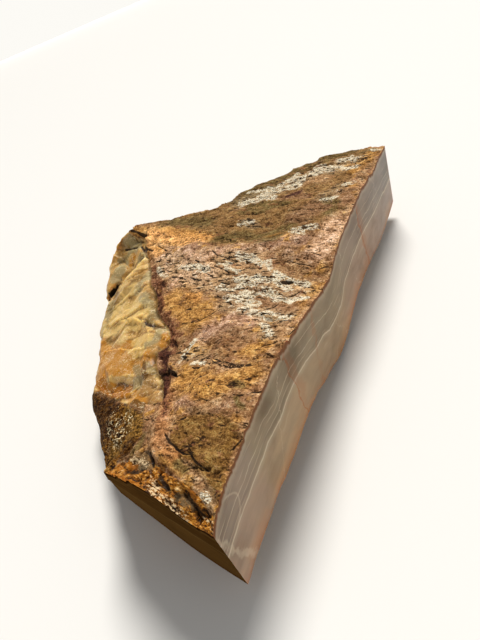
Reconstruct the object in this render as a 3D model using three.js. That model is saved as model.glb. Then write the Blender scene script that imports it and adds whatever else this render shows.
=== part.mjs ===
// A rough block of banded onyx (calcite) as it leaves the quarry yard.
//
// Two upright saw cuts meet at the near corner. Everything else is natural: a
// weathered rind on top, a broken honey-coloured slope along the left, rough
// broken ends at the back and a belly underneath that rests on three small flats.
//
// Working frame: origin on the floor under the near corner, +X along the long
// saw cut, +Y into the block, +Z up. The finished mesh is moved so that its
// origin is the bottom centre of its bounding box. All lengths are millimetres.

import * as THREE from "three";

// ---------------------------------------------------------------- dimensions

const LONG_CUT_LENGTH = 638;
const SHORT_CUT_LENGTH = 153;
const CUT_ANGLE = THREE.MathUtils.degToRad(77.5);   // between the two saw cuts, in plan

const RIM_STEP = 10;         // spacing of the mesh along the outline
const RIND_STEP = 11.5;      // spacing of the mesh on the rind
const LUMP_STEP = 15;        // spacing on the dark lump of the broken slope
const FACET_STEP = 23;       // spacing on its honey facets, between the listed ridge points
const BELLY_STEP = 25;       // spacing underneath
const LIP_GAP = 1.4;         // half the plan width of a ledge's steep face
const WALL_ROWS = 4;         // rows of faces between rim and foot on the natural sides

const PAD_RADIUS = 24;       // the flats that the block stands on
const PADS = [[150, 105], [505, 95], [330, 325]];
const BELLY_CLEARANCE = 4;   // how far the belly stays above the floor between the flats
const BELLY_REACH = 135;     // the belly curls up to the outline over this distance

// Long saw cut: [x, height] along its upper and lower edge.
const LONG_CUT_TOP = [
  [0, 110], [9, 120], [26, 125], [54, 129], [84, 133], [113, 137], [151, 138], [181, 135],
  [212, 130], [256, 121], [304, 112], [323, 111], [340, 119], [375, 126], [442, 129],
  [488, 130], [559, 121], [602, 124], [LONG_CUT_LENGTH, 121],
];
const LONG_CUT_FOOT = [
  [0, 24], [52, 28], [74, 32], [102, 29], [158, 33], [190, 34], [210, 30], [235, 21],
  [287, 9], [328, 10], [386, 24], [439, 24], [507, 16], [543, 14], [608, 19],
  [LONG_CUT_LENGTH, 23],
];

// Short saw cut: [distance from the near corner, height].
const SHORT_CUT_TOP = [
  [0, 110], [18, 106], [32, 106], [45, 112], [62, 116], [78, 122], [95, 119], [113, 112],
  [132, 104], [SHORT_CUT_LENGTH, 95],
];
const SHORT_CUT_FOOT = [
  [0, 24], [35, 21], [70, 24], [100, 36], [128, 46], [SHORT_CUT_LENGTH, 57],
];

// Natural outline, from the far corner round the back to the end of the short
// cut: [x, y, rim height, foot height, bulge of the side between them].
const NATURAL_SIDE = [
  [645, 25, 119, 27, 4], [654, 57, 116, 30, 5], [652, 82, 113, 32, 6], [647, 108, 112, 32, 7],
  [632, 134, 110, 30, 9], [617, 157, 109, 28, 10], [597, 180, 110, 28, 12], [588, 201, 110, 28, 9],
  [571, 214, 109, 28, 12], [552, 234, 109, 28, 14], [527, 234, 108, 30, 10], [509, 250, 107, 30, 11],
  [510, 284, 110, 30, 9], [502, 311, 111, 32, 10], [484, 330, 113, 34, 12], [481, 364, 115, 38, 8],
  [474, 391, 117, 42, 6], [457, 404, 118, 44, 8], [449, 426, 106, 44, 10], [440, 441, 91, 42, 9],
  [414, 443, 74, 40, 12], [378, 428, 64, 38, 11], [357, 419, 58, 36, 9], [343, 404, 50, 34, 7],
  [326, 387, 61, 34, 11], [309, 382, 60, 32, 10], [282, 370, 59, 30, 12], [257, 349, 58, 30, 11],
  [232, 335, 58, 30, 12], [208, 316, 58, 30, 11], [183, 302, 58, 31, 11], [161, 287, 60, 33, 10],
  [137, 274, 56, 34, 9], [117, 249, 54, 35, 7], [88, 222, 54, 38, 6], [75, 203, 56, 41, 6],
  [56, 184, 63, 47, 5], [43, 164, 80, 53, 2],
];

// Edge of the rind, from the near corner along the short cut and then along the
// top of the broken slope: [x, y, height of the lip, drop below it].
const RIND_EDGE = [
  [14, 9, 116, 5], [21, 24, 119, 6], [28, 42, 121, 7], [38, 64, 119, 8], [47, 84, 118, 9],
  [60, 101, 116, 7], [74, 108, 114, 5], [88, 120, 111, 5], [100, 126, 109, 7], [114, 125, 108, 8],
  [128, 124, 108, 8], [144, 131, 108, 10], [154, 139, 109, 13], [175, 156, 108, 8], [187, 147, 109, 5],
  [200, 154, 109, 6], [218, 171, 109, 7], [236, 186, 110, 7], [246, 202, 110, 7], [272, 225, 111, 7],
  [291, 232, 111, 6], [303, 249, 111, 6], [334, 267, 112, 6], [368, 297, 112, 7], [385, 313, 114, 15],
  [404, 341, 114, 18], [420, 350, 117, 22], [430, 345, 117, 14], [441, 362, 116, 16], [447, 386, 115, 14],
];

// Heights of the rind itself: [x, y, height]. The surface runs smoothly between them.
const RIND_HEIGHTS = [
  [90, 28, 129], [58, 48, 124], [84, 80, 121], [112, 58, 126], [128, 98, 117], [152, 60, 127],
  [200, 60, 124], [165, 118, 113], [242, 120, 118], [300, 55, 115], [330, 120, 117], [380, 58, 126],
  [368, 137, 127], [385, 210, 127], [424, 320, 120], [300, 195, 115], [232, 160, 113], [350, 255, 115],
  [402, 282, 119], [450, 60, 127], [550, 60, 122], [470, 150, 124], [560, 150, 118], [618, 80, 117],
  [505, 225, 118], [455, 325, 118], [465, 372, 116], [598, 150, 113], [550, 212, 113], [498, 298, 114],
];

// Corners and ridges of the broken slope: [x, y, height].
const SLOPE_POINTS = [
  // strip of small ledges above the short cut
  [8, 7, 108], [11, 21, 104], [16, 36, 110], [20, 52, 113], [26, 69, 112], [31, 88, 112],
  [36, 104, 108], [41, 118, 103], [50, 128, 97], [60, 116, 103], [48, 103, 108],
  // dark glossy lump at the left
  [45, 146, 97], [59, 152, 90], [66, 170, 74], [78, 140, 96], [77, 160, 86], [92, 141, 98],
  [91, 180, 80], [92, 203, 65], [108, 165, 92], [108, 197, 75], [122, 168, 88], [113, 226, 66],
  // small honey facets under the rind
  [113, 137, 99], [111, 149, 94], [132, 172, 87], [142, 178, 90], [143, 196, 80], [124, 205, 76],
  [139, 231, 68], [147, 258, 63], [128, 246, 61],
  // lip of the amber facet, and the foot of its step
  [157, 183, 96], [158, 200, 90], [162, 228, 82], [164, 256, 74],
  [149, 186, 86], [150, 203, 79], [153, 230, 71], [156, 262, 62],
  // amber facet and the ones beyond it
  [178, 194, 98], [191, 198, 100], [209, 268, 77], [199, 300, 63], [183, 280, 70], [186, 240, 84],
  [214, 208, 103], [229, 203, 100], [241, 230, 99], [228, 238, 88], [236, 262, 84], [232, 305, 66],
  [258, 250, 97], [272, 270, 92], [262, 295, 78], [283, 332, 70], [254, 322, 66], [292, 304, 82],
  [296, 262, 104], [318, 284, 103], [312, 340, 74], [312, 364, 66], [340, 296, 104],
  [322, 312, 95], [302, 326, 79], [342, 322, 99], [326, 338, 90], [268, 320, 73], [252, 276, 91],
  // edge of the honey block, and the gully floor behind it
  [386, 329, 107], [362, 337, 99], [346, 349, 91], [340, 363, 83], [331, 375, 71],
  [392, 335, 92], [371, 346, 82], [357, 358, 72], [351, 371, 62], [345, 386, 52],
  // far wall of the gully
  [404, 352, 96], [421, 366, 97], [430, 382, 93], [408, 398, 73], [388, 384, 66], [385, 407, 62],
  [420, 418, 74], [366, 403, 54], [438, 408, 92], [440, 428, 86],
];

// Ledges on the rind: a path [x, y], how far its right-hand side stands up, and
// how far that side takes to sink back. Right-hand is as one walks the path.
const LEDGES = [
  { path: [[80, 92], [62, 71], [53, 56], [47, 42], [44, 26], [38, 14]], rise: 6, reach: 70 },
  { path: [[29, 26], [36, 40], [45, 58], [52, 72]], rise: -3, reach: 14 },
  { path: [[176, 132], [169, 118], [164, 97], [165, 77], [161, 56], [159, 31], [156, 10]], rise: 4, reach: 60 },
  { path: [[108, 92], [104, 74], [96, 55], [92, 34], [98, 14]], rise: -3, reach: 26 },
  { path: [[232, 158], [225, 128], [216, 108], [219, 84], [210, 62], [214, 34]], rise: 3, reach: 40 },
  { path: [[262, 196], [258, 170], [266, 148], [260, 122], [264, 100]], rise: 3, reach: 34 },
  { path: [[298, 158], [294, 128], [300, 104], [292, 82], [294, 50]], rise: -3, reach: 30 },
  { path: [[345, 236], [338, 208], [343, 182], [334, 158], [338, 132], [331, 110]], rise: 4, reach: 50 },
  { path: [[388, 268], [380, 238], [384, 212], [374, 184], [372, 152]], rise: 4, reach: 60 },
  { path: [[372, 122], [366, 96], [370, 72], [362, 44], [367, 18]], rise: 4, reach: 60 },
  { path: [[440, 214], [428, 180], [432, 152], [420, 122]], rise: -3, reach: 30 },
  { path: [[446, 118], [452, 88], [444, 62], [449, 34]], rise: 3, reach: 40 },
  { path: [[502, 206], [506, 166], [498, 142], [504, 112], [496, 74]], rise: -3, reach: 44 },
  { path: [[548, 160], [556, 124], [550, 98], [557, 66], [552, 34]], rise: 3, reach: 40 },
  { path: [[602, 140], [598, 108], [606, 82], [598, 48]], rise: -3, reach: 30 },
  { path: [[440, 300], [452, 280], [448, 254], [456, 230]], rise: 4, reach: 34 },
  { path: [[406, 324], [424, 318], [440, 322]], rise: -4, reach: 22 },
];

// ------------------------------------------------------------ small functions

// Repeatable random numbers in 0..1.
function randomStream(seed) {
  let state = seed;
  return () => {
    state = (state + 0x6d2b79f5) | 0;
    let mixed = Math.imul(state ^ (state >>> 15), 1 | state);
    mixed = (mixed + Math.imul(mixed ^ (mixed >>> 7), 61 | mixed)) ^ mixed;
    return ((mixed ^ (mixed >>> 14)) >>> 0) / 4294967296;
  };
}

// A fixed random value in -1..1 for each corner of a square lattice.
function latticeValue(column, row, layer) {
  const random = randomStream(column * 374761 + row * 668265 + layer * 91813);
  random();
  return random() * 2 - 1;
}

// Smooth lumps: about -1..1, with features `size` millimetres across.
function lumps(x, y, size, layer) {
  const column = Math.floor(x / size);
  const row = Math.floor(y / size);
  const u = THREE.MathUtils.smoothstep(x / size - column, 0, 1);
  const v = THREE.MathUtils.smoothstep(y / size - row, 0, 1);
  const near = THREE.MathUtils.lerp(
    latticeValue(column, row, layer), latticeValue(column + 1, row, layer), u);
  const far = THREE.MathUtils.lerp(
    latticeValue(column, row + 1, layer), latticeValue(column + 1, row + 1, layer), u);
  return THREE.MathUtils.lerp(near, far, v);
}

// Points every `step` along a polyline, its corners kept, all components blended.
function alongPath(path, step) {
  const points = [];
  for (let i = 0; i + 1 < path.length; i++) {
    const [start, end] = [path[i], path[i + 1]];
    const pieces = Math.max(1, Math.round(Math.hypot(end[0] - start[0], end[1] - start[1]) / step));
    for (let k = 0; k < pieces; k++) {
      points.push(start.map((value, c) => value + (end[c] - value) * k / pieces));
    }
  }
  points.push([...path[path.length - 1]]);
  return points;
}

// The polyline's height where its first component is `at`.
function profileHeight(profile, at) {
  let i = 0;
  while (i + 2 < profile.length && profile[i + 1][0] < at) i++;
  const [[a, heightA], [b, heightB]] = [profile[i], profile[i + 1]];
  return heightA + (heightB - heightA) * (at - a) / (b - a);
}

// Nearest point of an open polyline: distance, side (+1 right-hand), and 0..1 along it.
function nearestOnPath(path, x, y) {
  let best = { distance: Infinity };
  for (let i = 0; i + 1 < path.length; i++) {
    const [ax, ay] = path[i];
    const [dx, dy] = [path[i + 1][0] - ax, path[i + 1][1] - ay];
    const t = THREE.MathUtils.clamp(((x - ax) * dx + (y - ay) * dy) / (dx * dx + dy * dy), 0, 1);
    const distance = Math.hypot(x - ax - t * dx, y - ay - t * dy);
    if (distance < best.distance) {
      const side = (x - ax) * dy - (y - ay) * dx > 0 ? 1 : -1;
      best = { distance, side, along: (i + t) / (path.length - 1), index: i, t };
    }
  }
  return best;
}

function isInside(polygon, x, y) {
  let inside = false;
  for (let i = 0, j = polygon.length - 1; i < polygon.length; j = i++) {
    const [[xi, yi], [xj, yj]] = [polygon[i], polygon[j]];
    if (yi > y !== yj > y && x < (xj - xi) * (y - yi) / (yj - yi) + xi) inside = !inside;
  }
  return inside;
}

// Delaunay triangulation of points [x, y, ...] by inserting them one at a time.
function delaunay(points) {
  const far = 1e5;
  const all = [...points, [-far, -far], [far, -far], [0, far]];
  const corner = points.length;
  let triangles = [withCircle([corner, corner + 1, corner + 2])];

  function withCircle([a, b, c]) {
    const [ax, ay] = all[a];
    const [bx, by] = [all[b][0] - ax, all[b][1] - ay];
    const [cx, cy] = [all[c][0] - ax, all[c][1] - ay];
    const area = 2 * (bx * cy - by * cx);
    const ux = (cy * (bx * bx + by * by) - by * (cx * cx + cy * cy)) / area;
    const uy = (bx * (cx * cx + cy * cy) - cx * (bx * bx + by * by)) / area;
    return { corners: [a, b, c], x: ax + ux, y: ay + uy, radiusSquared: ux * ux + uy * uy };
  }

  for (let p = 0; p < points.length; p++) {
    const [x, y] = all[p];
    const kept = [];
    const hole = new Map();
    for (const triangle of triangles) {
      if ((x - triangle.x) ** 2 + (y - triangle.y) ** 2 > triangle.radiusSquared) {
        kept.push(triangle);
        continue;
      }
      triangle.corners.forEach((from, i) => {
        const to = triangle.corners[(i + 1) % 3];
        if (!hole.delete(`${to},${from}`)) hole.set(`${from},${to}`, [from, to]);
      });
    }
    triangles = kept;
    for (const [from, to] of hole.values()) triangles.push(withCircle([from, to, p]));
  }
  return triangles.map(t => t.corners).filter(t => t.every(i => i < points.length));
}

// ------------------------------------------------------------------- outline

// The stations of the closed outline, anticlockwise from the near corner.
// Each has x, y, rim height, foot height and bulge; a saw cut has bulge 0.
function outlineStations() {
  const [cutX, cutY] = [Math.cos(CUT_ANGLE), Math.sin(CUT_ANGLE)];
  const longCut = alongPath([[0, 0], [LONG_CUT_LENGTH, 0]], RIM_STEP).map(([x, y]) =>
    [x, y, profileHeight(LONG_CUT_TOP, x), profileHeight(LONG_CUT_FOOT, x), 0]);
  const shortCut = alongPath([[SHORT_CUT_LENGTH, 0], [0, 0]], RIM_STEP).map(([d]) =>
    [d * cutX, d * cutY, profileHeight(SHORT_CUT_TOP, d), profileHeight(SHORT_CUT_FOOT, d), 0]);
  const natural = alongPath([longCut.at(-1), ...NATURAL_SIDE, shortCut[0]], RIM_STEP + 2);
  for (const station of natural.slice(1, -1)) {
    station[2] += 1.5 * lumps(station[0], station[1], 17, 1);
    station[3] += 2.0 * lumps(station[0], station[1], 23, 2);
  }
  return [...longCut, ...natural.slice(1, -1), ...shortCut.slice(0, -1)];
}

const stations = outlineStations();
const outline = stations.map(([x, y]) => [x, y]);

// ------------------------------------------------------------ upper surface

const rindPolygon = [
  [0, -1], [LONG_CUT_LENGTH, -1],
  ...NATURAL_SIDE.slice(0, 18).map(([x, y]) => [x, y]),
  ...RIND_EDGE.toReversed().map(([x, y]) => [x, y]),
];

// Smooth height of the rind: a distance-weighted mean of its support heights,
// which near the long cut gives way to the profile of that cut's upper edge.
function rindBase(x, y) {
  let [sum, weights] = [0, 0];
  for (const [px, py, height] of RIND_HEIGHTS) {
    const weight = 1 / ((x - px) ** 2 + (y - py) ** 2 + 600) ** 2;
    sum += weight * height;
    weights += weight;
  }
  const blend = THREE.MathUtils.smoothstep(y, 0, 70);
  return THREE.MathUtils.lerp(profileHeight(LONG_CUT_TOP, x), sum / weights, blend);
}

// What the ledges add: each lifts one side of its path and dies out at its ends.
function ledgeRise(x, y) {
  let rise = 0;
  for (const ledge of LEDGES) {
    const near = nearestOnPath(ledge.path, x, y);
    if (near.side !== Math.sign(ledge.rise)) continue;
    const ends = Math.sin(Math.PI * THREE.MathUtils.clamp(near.along, 0.08, 0.92));
    rise += Math.abs(ledge.rise) * ends * Math.exp(-near.distance / ledge.reach)
      * THREE.MathUtils.smoothstep(3 * ledge.reach - near.distance, 0, ledge.reach);
  }
  return rise;
}

function rindHeight(x, y) {
  const edge = nearestOnPath(RIND_EDGE, x, y);
  const [start, end] = [RIND_EDGE[edge.index], RIND_EDGE[edge.index + 1]];
  const lip = THREE.MathUtils.lerp(start[2], end[2], edge.t);
  const inward = THREE.MathUtils.smoothstep(edge.distance, 0, 45);
  const cut = THREE.MathUtils.smoothstep(y, 0, 14);
  const rough = 2.6 * lumps(x, y, 38, 3) + 1.6 * lumps(x, y, 16, 4);
  return THREE.MathUtils.lerp(lip, rindBase(x, y), inward) + (ledgeRise(x, y) + rough) * cut;
}

// Two rows of points along a path, one for the lip of a step and one for its foot.
function stepPoints(path, gap, heightAt) {
  const points = [];
  const row = alongPath(path, 8);
  row.forEach((point, i) => {
    const before = row[Math.max(i - 1, 0)];
    const after = row[Math.min(i + 1, row.length - 1)];
    const [dx, dy] = [after[0] - before[0], after[1] - before[1]];
    const length = Math.hypot(dx, dy);
    for (const side of [1, -1]) {
      const x = point[0] + side * gap * dy / length;
      const y = point[1] - side * gap * dx / length;
      points.push([x, y, heightAt(x, y, side, point)]);
    }
  });
  return points;
}

function isClear(points, x, y, gap) {
  return points.every(point => (point[0] - x) ** 2 + (point[1] - y) ** 2 > gap * gap);
}

// Jittered points on a triangular grid, where `accept` lets them stand.
function scatter(step, seed, accept, heightAt) {
  const random = randomStream(seed);
  const points = [];
  const rowStep = step * Math.sqrt(3) / 2;
  for (let row = 0; row * rowStep < 480; row++) {
    for (let column = 0; column * step < 670; column++) {
      const x = (column + (row % 2) / 2) * step + (random() - 0.5) * step * 0.5;
      const y = row * rowStep + (random() - 0.5) * step * 0.5;
      if (accept(x, y)) points.push([x, y, heightAt(x, y)]);
    }
  }
  return points;
}

// Broken slope: the mean of its nearest corner points, with some roughness.
function slopeHeight(x, y, rough) {
  let [sum, weights] = [0, 0];
  for (const [px, py, height] of SLOPE_POINTS) {
    const weight = 1 / ((x - px) ** 2 + (y - py) ** 2 + 20) ** 2;
    sum += weight * height;
    weights += weight;
  }
  return sum / weights + rough * lumps(x, y, 13, 5);
}

function upperPoints() {
  const points = stations.map(([x, y, rim]) => [x, y, rim]);
  const isOpen = (x, y, gap) => isInside(outline, x, y) && isClear(points, x, y, gap);
  const addOpen = (candidates, gap) => {
    const open = candidates.filter(([x, y]) => isOpen(x, y, gap));
    points.push(...open);
  };
  const edgeSteps = stepPoints(RIND_EDGE, 2 * LIP_GAP, (x, y, side, [, , lip, drop]) =>
    (side > 0 ? lip : lip - drop) + 1.2 * lumps(x, y, 15, 6));
  addOpen(edgeSteps, 5);
  addOpen(SLOPE_POINTS, 5);
  for (const { path } of LEDGES) {
    const steps = stepPoints(path, LIP_GAP, rindHeight);
    addOpen(steps, 5.5);
  }
  const onRind = (x, y) => isInside(rindPolygon, x, y) && isOpen(x, y, 0.68 * RIND_STEP);
  points.push(...scatter(RIND_STEP, 11, onRind, rindHeight));
  const onLump = (x, y) => x < 128 && y > 100 && isOpen(x, y, 0.62 * LUMP_STEP);
  points.push(...scatter(LUMP_STEP, 12, onLump, (x, y) => slopeHeight(x, y, 1.6)));
  const onFacets = (x, y) => isOpen(x, y, 0.6 * FACET_STEP);
  points.push(...scatter(FACET_STEP, 14, onFacets, (x, y) => slopeHeight(x, y, 3)));
  return points;
}

// ----------------------------------------------------------------- underside

// The belly: foot height at the outline, curling down to just above the floor.
function bellyHeight(x, y, ring) {
  const near = nearestOnPath(ring, x, y);
  const foot = THREE.MathUtils.lerp(ring[near.index][2], ring[near.index + 1][2], near.t);
  const curl = Math.max(0, 1 - near.distance / BELLY_REACH) ** 2.2;
  const rough = 2.5 * lumps(x, y, 60, 7) + 1.2 * lumps(x, y, 27, 8);
  const height = BELLY_CLEARANCE + 2 + (foot - BELLY_CLEARANCE - 2) * curl + rough;
  const toPad = Math.min(...PADS.map(([px, py]) => Math.hypot(x - px, y - py)));
  const lift = THREE.MathUtils.smoothstep(toPad, PAD_RADIUS + 1, PAD_RADIUS + 45);
  return toPad <= PAD_RADIUS + 1 ? 0 : Math.max(height, BELLY_CLEARANCE) * lift + 0.6;
}

function lowerPoints(footRing) {
  const closedRing = [...footRing, footRing[0]];
  const points = footRing.map(point => [...point]);
  for (const [px, py] of PADS) {
    points.push([px, py, 0]);
    for (let k = 0; k < 10; k++) {
      const turn = 2 * Math.PI * k / 10;
      points.push([px + PAD_RADIUS * Math.cos(turn), py + PAD_RADIUS * Math.sin(turn), 0]);
    }
  }
  const accept = (x, y) => isInside(footRing, x, y) && isClear(points, x, y, 0.6 * BELLY_STEP)
    && PADS.every(([px, py]) => Math.hypot(x - px, y - py) > PAD_RADIUS + 6);
  points.push(...scatter(BELLY_STEP, 13, accept, (x, y) => bellyHeight(x, y, closedRing)));
  return points;
}

// --------------------------------------------------------------------- solid

// Rows of points down the sides: row 0 is the rim and the last row is the foot.
// A saw cut stays in its plane; a natural side bulges, roughly, between the two.
function sideRows() {
  const count = stations.length;
  const outward = stations.map((station, i) => {
    const before = stations[(i + count - 1) % count];
    const after = stations[(i + 1) % count];
    const [dx, dy] = [after[0] - before[0], after[1] - before[1]];
    const length = Math.hypot(dx, dy);
    return [dy / length, -dx / length];
  });
  return Array.from({ length: WALL_ROWS + 1 }, (_, row) => stations.map((station, i) => {
    const [x, y, rim, foot, bulge] = station;
    const t = row / WALL_ROWS;
    const rough = bulge === 0 || row === 0 ? 0 : Math.min(bulge, 5) * lumps(x + y, 40 * row, 19, 9);
    const out = bulge * Math.sin(Math.PI * (0.15 + 0.75 * t)) * Math.min(1, 3 * t) + 0.6 * rough;
    return [x + outward[i][0] * out, y + outward[i][1] * out, rim + (foot - rim) * t];
  }));
}

function blockGeometry() {
  const rows = sideRows();
  const count = stations.length;
  const positions = [];
  const triangles = [];
  const addPoints = points => points.forEach(point => positions.push(...point));

  // Upper surface. Its first points are the rim, in outline order.
  const upper = upperPoints();
  addPoints(upper);
  for (const [a, b, c] of delaunay(upper)) {
    const x = (upper[a][0] + upper[b][0] + upper[c][0]) / 3;
    const y = (upper[a][1] + upper[b][1] + upper[c][1]) / 3;
    if (isInside(outline, x, y)) triangles.push([a, b, c]);
  }

  // Underside. Its first points are the foot, in outline order.
  const footStart = upper.length;
  const lower = lowerPoints(rows[WALL_ROWS]);
  addPoints(lower);
  for (const [a, b, c] of delaunay(lower)) {
    const x = (lower[a][0] + lower[b][0] + lower[c][0]) / 3;
    const y = (lower[a][1] + lower[b][1] + lower[c][1]) / 3;
    if (isInside(rows[WALL_ROWS], x, y)) triangles.push([a, c, b].map(i => footStart + i));
  }

  // Sides, row by row from the rim down to the foot.
  const rowStart = [0];
  for (let row = 1; row < WALL_ROWS; row++) {
    rowStart.push(positions.length / 3);
    addPoints(rows[row]);
  }
  rowStart.push(footStart);
  for (let row = 0; row < WALL_ROWS; row++) {
    for (let i = 0; i < count; i++) {
      const next = (i + 1) % count;
      const [a, b] = [rowStart[row] + i, rowStart[row] + next];
      const [c, d] = [rowStart[row + 1] + i, rowStart[row + 1] + next];
      if ((i + row) % 2) triangles.push([a, c, b], [b, c, d]);
      else triangles.push([a, c, d], [a, d, b]);
    }
  }

  const geometry = new THREE.BufferGeometry();
  geometry.setAttribute("position", new THREE.Float32BufferAttribute(positions, 3));
  geometry.setIndex(triangles.flat());
  return geometry;
}

// Stand the block on the floor with its bounding box centred over the origin.
function centred(geometry) {
  geometry.computeBoundingBox();
  const { min, max } = geometry.boundingBox;
  geometry.translate(-(min.x + max.x) / 2, -(min.y + max.y) / 2, -min.z);
  geometry.computeVertexNormals();
  return geometry;
}

const onyx = new THREE.MeshStandardMaterial({ color: 0xa88455, roughness: 0.75, metalness: 0 });
const block = new THREE.Mesh(centred(blockGeometry()), onyx);
block.name = "onyx_block";

const group = new THREE.Group();
group.add(block);

export default group;
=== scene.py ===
# %% [markdown]
# A rough block of banded onyx, as it leaves the quarry yard. Two upright saw cuts meet
# at the near corner and show the bands inside. All the rest is natural: a rust-coloured,
# flaky weathered skin on top, a broken honey-coloured slope on the left, rough broken
# ends behind, and a belly that stands on three small flats.
# The CAD model holds the exact size and the main forms. Here its surface is broken up
# into flakes, cracks, grains and facets, and it gets its stone colours.

# %% Load the frame
import math
import bpy
import numpy as np
from mathutils import Matrix, Vector, noise


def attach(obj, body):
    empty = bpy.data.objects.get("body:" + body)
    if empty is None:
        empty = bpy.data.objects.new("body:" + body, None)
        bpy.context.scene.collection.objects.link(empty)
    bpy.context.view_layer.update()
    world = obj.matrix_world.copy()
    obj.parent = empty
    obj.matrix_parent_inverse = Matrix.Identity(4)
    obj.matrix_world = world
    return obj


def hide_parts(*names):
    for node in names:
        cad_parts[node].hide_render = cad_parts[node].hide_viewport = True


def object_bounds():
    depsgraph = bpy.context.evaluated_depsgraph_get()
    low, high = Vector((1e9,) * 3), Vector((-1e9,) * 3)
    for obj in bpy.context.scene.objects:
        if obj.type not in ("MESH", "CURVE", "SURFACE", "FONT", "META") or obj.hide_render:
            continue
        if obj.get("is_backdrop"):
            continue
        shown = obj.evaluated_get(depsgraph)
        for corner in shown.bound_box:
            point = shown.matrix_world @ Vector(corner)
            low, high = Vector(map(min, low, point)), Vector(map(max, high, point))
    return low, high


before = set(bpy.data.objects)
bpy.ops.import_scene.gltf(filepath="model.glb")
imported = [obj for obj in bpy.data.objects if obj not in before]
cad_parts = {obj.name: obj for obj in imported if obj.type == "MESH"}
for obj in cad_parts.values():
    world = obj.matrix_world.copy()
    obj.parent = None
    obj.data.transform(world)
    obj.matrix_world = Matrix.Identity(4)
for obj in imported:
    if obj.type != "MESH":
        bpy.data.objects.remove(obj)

cad_low, cad_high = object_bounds()
print("CAD box from", tuple(round(v, 4) for v in cad_low), "to", tuple(round(v, 4) for v in cad_high))

# %% [markdown]
# The camera looks down on the near corner, from in front and from the left, and it is
# rolled to one side, as when someone leans over the block. Its axes are given directly:
# the right, up and back directions of the view make up the camera's matrix.

# %% Camera
LENS = 27.5625                                       # mm, on a sensor 36 mm on its long side
EYE = (-116.39, -198.15, 438.35)                     # mm from the near corner

bpy.ops.object.camera_add()
camera = bpy.context.object
camera.data.sensor_width = 36
camera.data.lens = LENS
view_right = Vector((0.39060, -0.86293, -0.32059))
view_up = Vector((0.66761, 0.02575, 0.74407))
view_axes = Matrix((view_right, view_up, view_right.cross(view_up))).transposed()
eye = Vector((cad_low.x + EYE[0] / 1000, cad_low.y + EYE[1] / 1000, EYE[2] / 1000))
camera.matrix_world = Matrix.Translation(eye) @ view_axes.to_4x4()
bpy.context.scene.camera = camera
print("camera at", tuple(round(v, 3) for v in camera.location))

# %% [markdown]
# The floor is a plain pale sheet, far larger than the view, and it throws soft light up
# into the saw cuts. A low pale ring stands round it, as a studio's backdrop does, so
# that the floor's edge is never seen. The ring glows a little, which is simpler than
# lighting it.

# %% Floor
FLOOR_SIZE = 40                                      # these three in metres
RING_RADIUS, RING_HEIGHT = 14, 1.4

def principled(name, **values):
    """A new material with a Principled shader, and that shader's constants set on its sockets."""
    material = bpy.data.materials.new(name)
    material.use_nodes = True
    shader = material.node_tree.nodes["Principled BSDF"]
    for socket, value in values.items():
        shader.inputs[socket.replace("_", " ")].default_value = value
    return material

bpy.ops.object.select_all(action="DESELECT")
bpy.ops.mesh.primitive_plane_add(size=FLOOR_SIZE)
floor = bpy.context.object
floor.name = "floor"
floor.data.materials.append(principled("pale floor", Base_Color=(0.84, 0.84, 0.83, 1), Roughness=0.9))
bpy.ops.mesh.primitive_cylinder_add(vertices=96, radius=RING_RADIUS, depth=RING_HEIGHT,
                                    end_fill_type="NOTHING", location=(0, 0, RING_HEIGHT / 2))
backdrop = bpy.context.object
backdrop.name = "backdrop"
backdrop.visible_shadow = False                      # the main light shines through it
backdrop.data.materials.append(principled("pale backdrop", Base_Color=(0, 0, 0, 1), Specular_IOR_Level=0.0,
                                          Emission_Color=(1.0, 0.98, 0.93, 1), Emission_Strength=0.98))
for staged in (floor, backdrop):
    staged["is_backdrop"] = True
print("floor", FLOOR_SIZE, "m wide, with a ring", RING_HEIGHT, "m high at", RING_RADIUS, "m")

# %% [markdown]
# The main light comes from high behind the block and from the right. It rakes over the
# skin, so each flake has a lit face and a dark foot, and it leaves both saw cuts in open
# shade. It is a sun with a wide disc: its shadows are as soft as a large lamp's, and the
# floor is lit evenly to its edge. A wide, weak light in front lets the bands of the cuts
# be seen, and a pale world fills the rest.

# %% Lights
BLOCK_MIDDLE = Vector((0, 0, 0.07))

def add_light(name, kind, direction, distance, power, colour):
    """A light that shines at the block's middle from the given direction."""
    away = Vector(direction).normalized()
    bpy.ops.object.light_add(type=kind, location=BLOCK_MIDDLE + away * distance)
    light = bpy.context.object
    light.name = name
    light.rotation_euler = away.to_track_quat("Z", "Y").to_euler()
    light.data.energy = power
    light.data.color = colour
    return light.data

main = add_light("main light", "SUN", (0.60, 0.16, 0.78), 6.0, 3.58, (1.0, 0.965, 0.905))
main.angle = math.radians(21)
front = add_light("front light", "AREA", (-0.2, -0.9, 0.45), 5.0, 28, (1.0, 0.98, 0.95))
front.size = 4.0
world = bpy.data.worlds.new("pale room")
world.use_nodes = True
room = world.node_tree.nodes["Background"].inputs
room["Color"].default_value = (1.0, 0.985, 0.96, 1)
room["Strength"].default_value = 0.26
bpy.context.scene.world = world
bpy.context.scene.view_settings.view_transform = "Standard"
print("a sun", round(math.degrees(main.angle)), "degrees wide and a lamp", front.size, "m wide")

# %% [markdown]
# The stone starts as a copy of the CAD block. The CAD mesh is loose triangles, so the
# copy's equal corners are merged first: then it is one closed skin that can be refined.

# %% Copy the block
bpy.ops.object.select_all(action="DESELECT")
stone = bpy.data.objects.new("onyx_stone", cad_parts["onyx_block"].data.copy())
bpy.context.collection.objects.link(stone)
stone.data.materials.clear()
stone.select_set(True)
bpy.context.view_layer.objects.active = stone
bpy.ops.object.mode_set(mode="EDIT")
bpy.ops.mesh.select_all(action="SELECT")
bpy.ops.mesh.remove_doubles(threshold=1e-6)
bpy.ops.object.mode_set(mode="OBJECT")
print("block:", len(stone.data.vertices), "corners,", len(stone.data.polygons), "faces")

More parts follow.
